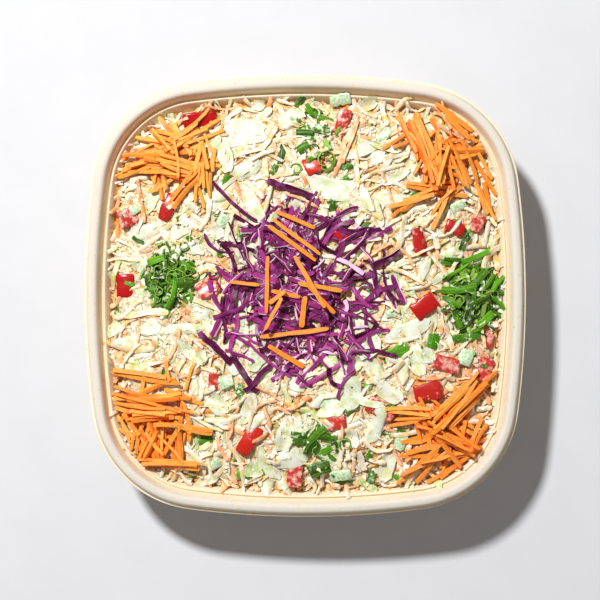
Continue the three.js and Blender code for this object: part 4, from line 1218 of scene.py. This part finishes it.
# A pile is its sticks' paleness and its bundles, and a bundle (x, y, across, along, heading in degrees, fan,
# sticks, length).
CARROT_PILES = {
    "carrot_pile_nw": (0.45, [
        (-92, 92, 44, 34, 10, 60, 19, 28), (-108, 96, 22, 26, 8, 12, 11, 36),
        (-86, 88, 24, 18, -12, 10, 8, 34), (-70, 80, 12, 12, 92, 10, 6, 28),
        (-66, 96, 12, 12, 97, 12, 4, 26), (-92, 110, 18, 12, -35, 12, 6, 26),
        (-78, 112, 14, 10, 27, 8, 5, 34), (-84, 74, 10, 10, 42, 8, 3, 26),
        (-86, 91, 2, 2, -84, 2, 1, 34)]),
    "carrot_pile_ne": (0.1, [
        (94, 94, 36, 36, 20, 70, 18, 26), (114, 106, 20, 16, 10, 10, 7, 30), (92, 75, 20, 6, -2, 5, 3, 38),
        (76, 66, 12, 6, 21, 8, 4, 32), (94, 64, 12, 10, 55, 8, 3, 28), (64, 108, 4, 6, 27, 6, 2, 22),
        (74, 110, 8, 10, 105, 6, 4, 36), (83, 98, 10, 10, 115, 6, 5, 50),
        (110, 90, 12, 10, 118, 10, 4, 32), (96, 88, 10, 10, 88, 12, 3, 30), (126, 88, 4, 8, -52, 6, 2, 26),
        (124, 66, 6, 8, -70, 6, 3, 24)]),
    "carrot_pile_sw": (0.1, [
        (-100, -84, 50, 44, 0, 60, 18, 28), (-103, -101, 40, 12, 100, 24, 17, 30),
        (-108, -76, 28, 18, -5, 8, 13, 42), (-79, -90, 8, 4, -13, 5, 2, 36),
        (-96, -117, 10, 4, -2, 3, 3, 40), (-92, -51, 3, 4, 95, 4, 1, 20), (-79, -54, 3, 4, 75, 4, 1, 23),
        (-110, -57, 6, 2, -7, 2, 2, 48), (-122, -92, 8, 8, 115, 8, 3, 24)]),
    "carrot_pile_se": (0.1, [
        (94, -94, 42, 38, 30, 70, 24, 28), (78, -108, 14, 6, 6, 5, 3, 32),
        (86, -118, 20, 14, 38, 12, 5, 34), (74, -85, 16, 8, 8, 6, 3, 34),
        (106, -110, 16, 16, 28, 12, 4, 32), (105, -102, 18, 14, -36, 12, 7, 42),
        (118, -94, 6, 6, 60, 5, 2, 28), (68, -79, 4, 2, -5, 3, 2, 40), (106, -74, 18, 12, 43, 6, 9, 48)]),
}
carrot_draw = np.random.default_rng(29)


def raw_carrot():
    """Raw carrot: bright orange, lightly moist, with fine fibres along the stick, and some sticks paler than
    others.
    """
    material, tree, place, tint, across, painted_shade = start_material(
        "raw carrot", "tint", "across", "deep", Roughness=0.42, Specular_IOR_Level=0.3, Subsurface_Weight=0.5,
        Subsurface_Radius=(1.0, 0.5, 0.2), Subsurface_Scale=1.2 * MM)
    streak = put(tree, "ShaderNodeTexNoise", place, Scale=1 / (4 * MM), Detail=4.0)
    darker = put(tree, "ShaderNodeMapRange", streak, 0.5, 0.75, To_Max=0.5)
    fibres = put(tree, "ShaderNodeTexWave", across, Scale=2.5, Distortion=2.0)
    # Painted shade: the redder coat grows with each point's depth in the pile.
    coats = [(tint, "#FFB853"), (darker, "#F07822"), (painted_shade, "#FF5C10")]
    return finish_material(material, "#FF8C28", coats, fibres.outputs["Fac"], strength=0.3, deep=0.2)


RAW_CARROT = raw_carrot()


def stick(x, y, heading, length, paler):
    return lay_clear(
        x, y, heading, length, CARROT_SIDE * carrot_draw.uniform(0.65, 1.12),
        CARROT_SIDE * carrot_draw.uniform(0.6, 0.9), carrot_draw, bend=carrot_draw.standard_t(4) * 0.16,
        limp=0, firm=0.4, ends=carrot_draw.uniform(0.3, 1.0), ragged=CARROT_RAGGED,
        roll=carrot_draw.normal() * 0.3, tint=paler + carrot_draw.uniform(0, 0.7))


def make_carrot_piles():
    for node, (paler, bundles) in CARROT_PILES.items():
        sticks = []
        for x, y, across, along, degrees, fan, count, length in bundles:
            for px, py in places_in(x, y, across, along, round(1.1 * count), carrot_draw, loose=1.5):
                long = length * carrot_draw.uniform(0.6, 1.15)
                heading = math.radians(degrees + 1.7 * carrot_draw.uniform(-fan, fan))
                sticks.append(stick(*keep_in(px, py, heading, long, 16.0), heading, long, paler))
        make_strips(node + "_sticks", sticks, RAW_CARROT, "carrot", node, squareness=0.92, ruffle=(1.4, 9.0),
                    shade=5.0)


make_carrot_piles()


def heap_under_ledge_sticks():
    """Dressed carrot of the slaw, heaped up against the ledge. It carries the two single sticks there."""
    shreds = []
    for loose in ON_LEDGE:
        for x, y, heading in gaps_under(loose):
            shift = carrot_draw.uniform(-2.0, 0.5)
            turn = 0.35 * carrot_draw.normal()
            shreds.append(stick(x + shift, y + shift, heading + turn, carrot_draw.uniform(9, 18), 0.0))
    make_strips("slaw_heap_under_ledge_sticks", shreds, SLAW_CUTS["dressed_carrot"], "slaw", "slaw",
                squareness=0.7, ruffle=(1.4, 5.0), shade=5.0)


heap_under_ledge_sticks()


def make_loose_carrots():
    sticks = []
    narrow = 0.5 + 0.5 * FULL
    for node in LOOSE_CARROTS:
        foot, tip = stick_ends(node)
        axis = (tip - foot) / np.linalg.norm(tip - foot)
        path = foot + (tip - foot) * STATIONS[:, None]
        pressed = (laid[cell(path[:, 0], path[:, 1])] + UNDERSIDE - path[:, 2]).max()
        path[:, 2] += np.clip(pressed - PRESSED_IN, 0, LIFT_MOST)
        sideways = np.cross((0, 0, 1), axis)
        wide = carrot_draw.uniform(0.9, 1.3)
        ragged = 1 + CARROT_RAGGED * carrot_draw.normal(size=len(path))
        sticks.append({
            "path": path,
            "lift": np.tile(np.cross(axis, sideways / np.linalg.norm(sideways)), (len(path), 1)),
            "width": CARROT_SIDE * wide * narrow * ragged,
            "thick": CARROT_SIDE * 0.8 * narrow,
            "looks": {"tint": carrot_draw.uniform(0, 0.4)},
        })
    make_strips("loose_carrot_sticks", sticks, RAW_CARROT, "carrot", *LOOSE_CARROTS, squareness=0.92,
                ruffle=(1.2, 9.0))


make_loose_carrots()

# ---- The table, the light and the camera ----
# A plain pale plaster top. A small studio light from the upper left throws a clear shadow, and a soft fill
# lights what lies in it.
TABLE_HALF = 2000.0
CAMERA_AT = (-3.47, -2.90, 1486.0)
CAMERA_LENS = 123.6
LIGHT_AZIMUTH = math.atan2(0.82, -0.57)
LIGHT_ELEVATION = math.radians(57)
LIGHT_AWAY = 2600.0
LIGHT_SIZE = 240.0
LIGHT_WATTS = 88.0
FILL_STRENGTH = 0.265


def make_table():
    mesh = bpy.data.meshes.new("table")
    corners = [(across * TABLE_HALF * MM, along * TABLE_HALF * MM, 0)
               for across, along in ((-1, -1), (1, -1), (1, 1), (-1, 1))]
    mesh.from_pydata(corners, [], [(0, 1, 2, 3)])
    material, tree, place = start_material("pale plaster", Roughness=0.7)
    clouds = put(tree, "ShaderNodeTexNoise", place, Scale=1 / (40 * MM), Detail=6.0)
    mesh.materials.append(finish_material(material, "#C9CACD", [(clouds, "#D2D2D5")]))
    table = bpy.data.objects.new("table", mesh)
    bpy.context.scene.collection.objects.link(table)
    table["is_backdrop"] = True


def make_light():
    lamp = bpy.data.lights.new("key", "AREA")
    lamp.shape = "DISK"
    lamp.size = LIGHT_SIZE * MM
    lamp.energy = LIGHT_WATTS
    key = bpy.data.objects.new("key", lamp)
    level = LIGHT_AWAY * math.cos(LIGHT_ELEVATION) * MM
    key.location = (*on_line(0, 0, LIGHT_AZIMUTH, level), LIGHT_AWAY * math.sin(LIGHT_ELEVATION) * MM)
    key.rotation_euler = key.location.to_track_quat("Z", "Y").to_euler()
    bpy.context.scene.collection.objects.link(key)
    world = bpy.data.worlds.new("fill")
    world.use_nodes = True
    world.node_tree.nodes["Background"].inputs[0].default_value = colour("#F8F6F4")
    world.node_tree.nodes["Background"].inputs[1].default_value = FILL_STRENGTH
    bpy.context.scene.world = world


def make_camera():
    lens = bpy.data.cameras.new("camera")
    lens.lens = CAMERA_LENS
    lens.sensor_width = 36.0
    lens.clip_end = 20.0
    camera = bpy.data.objects.new("camera", lens)
    camera.location = [value * MM for value in CAMERA_AT]
    bpy.context.scene.collection.objects.link(camera)
    bpy.context.scene.camera = camera


make_table()
make_light()
make_camera()
bpy.context.scene.view_settings.view_transform = "Standard"

sizes = {name: [list(corner) for corner in box] for name, box in (("cad", cad_box), ("visual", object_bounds()))}
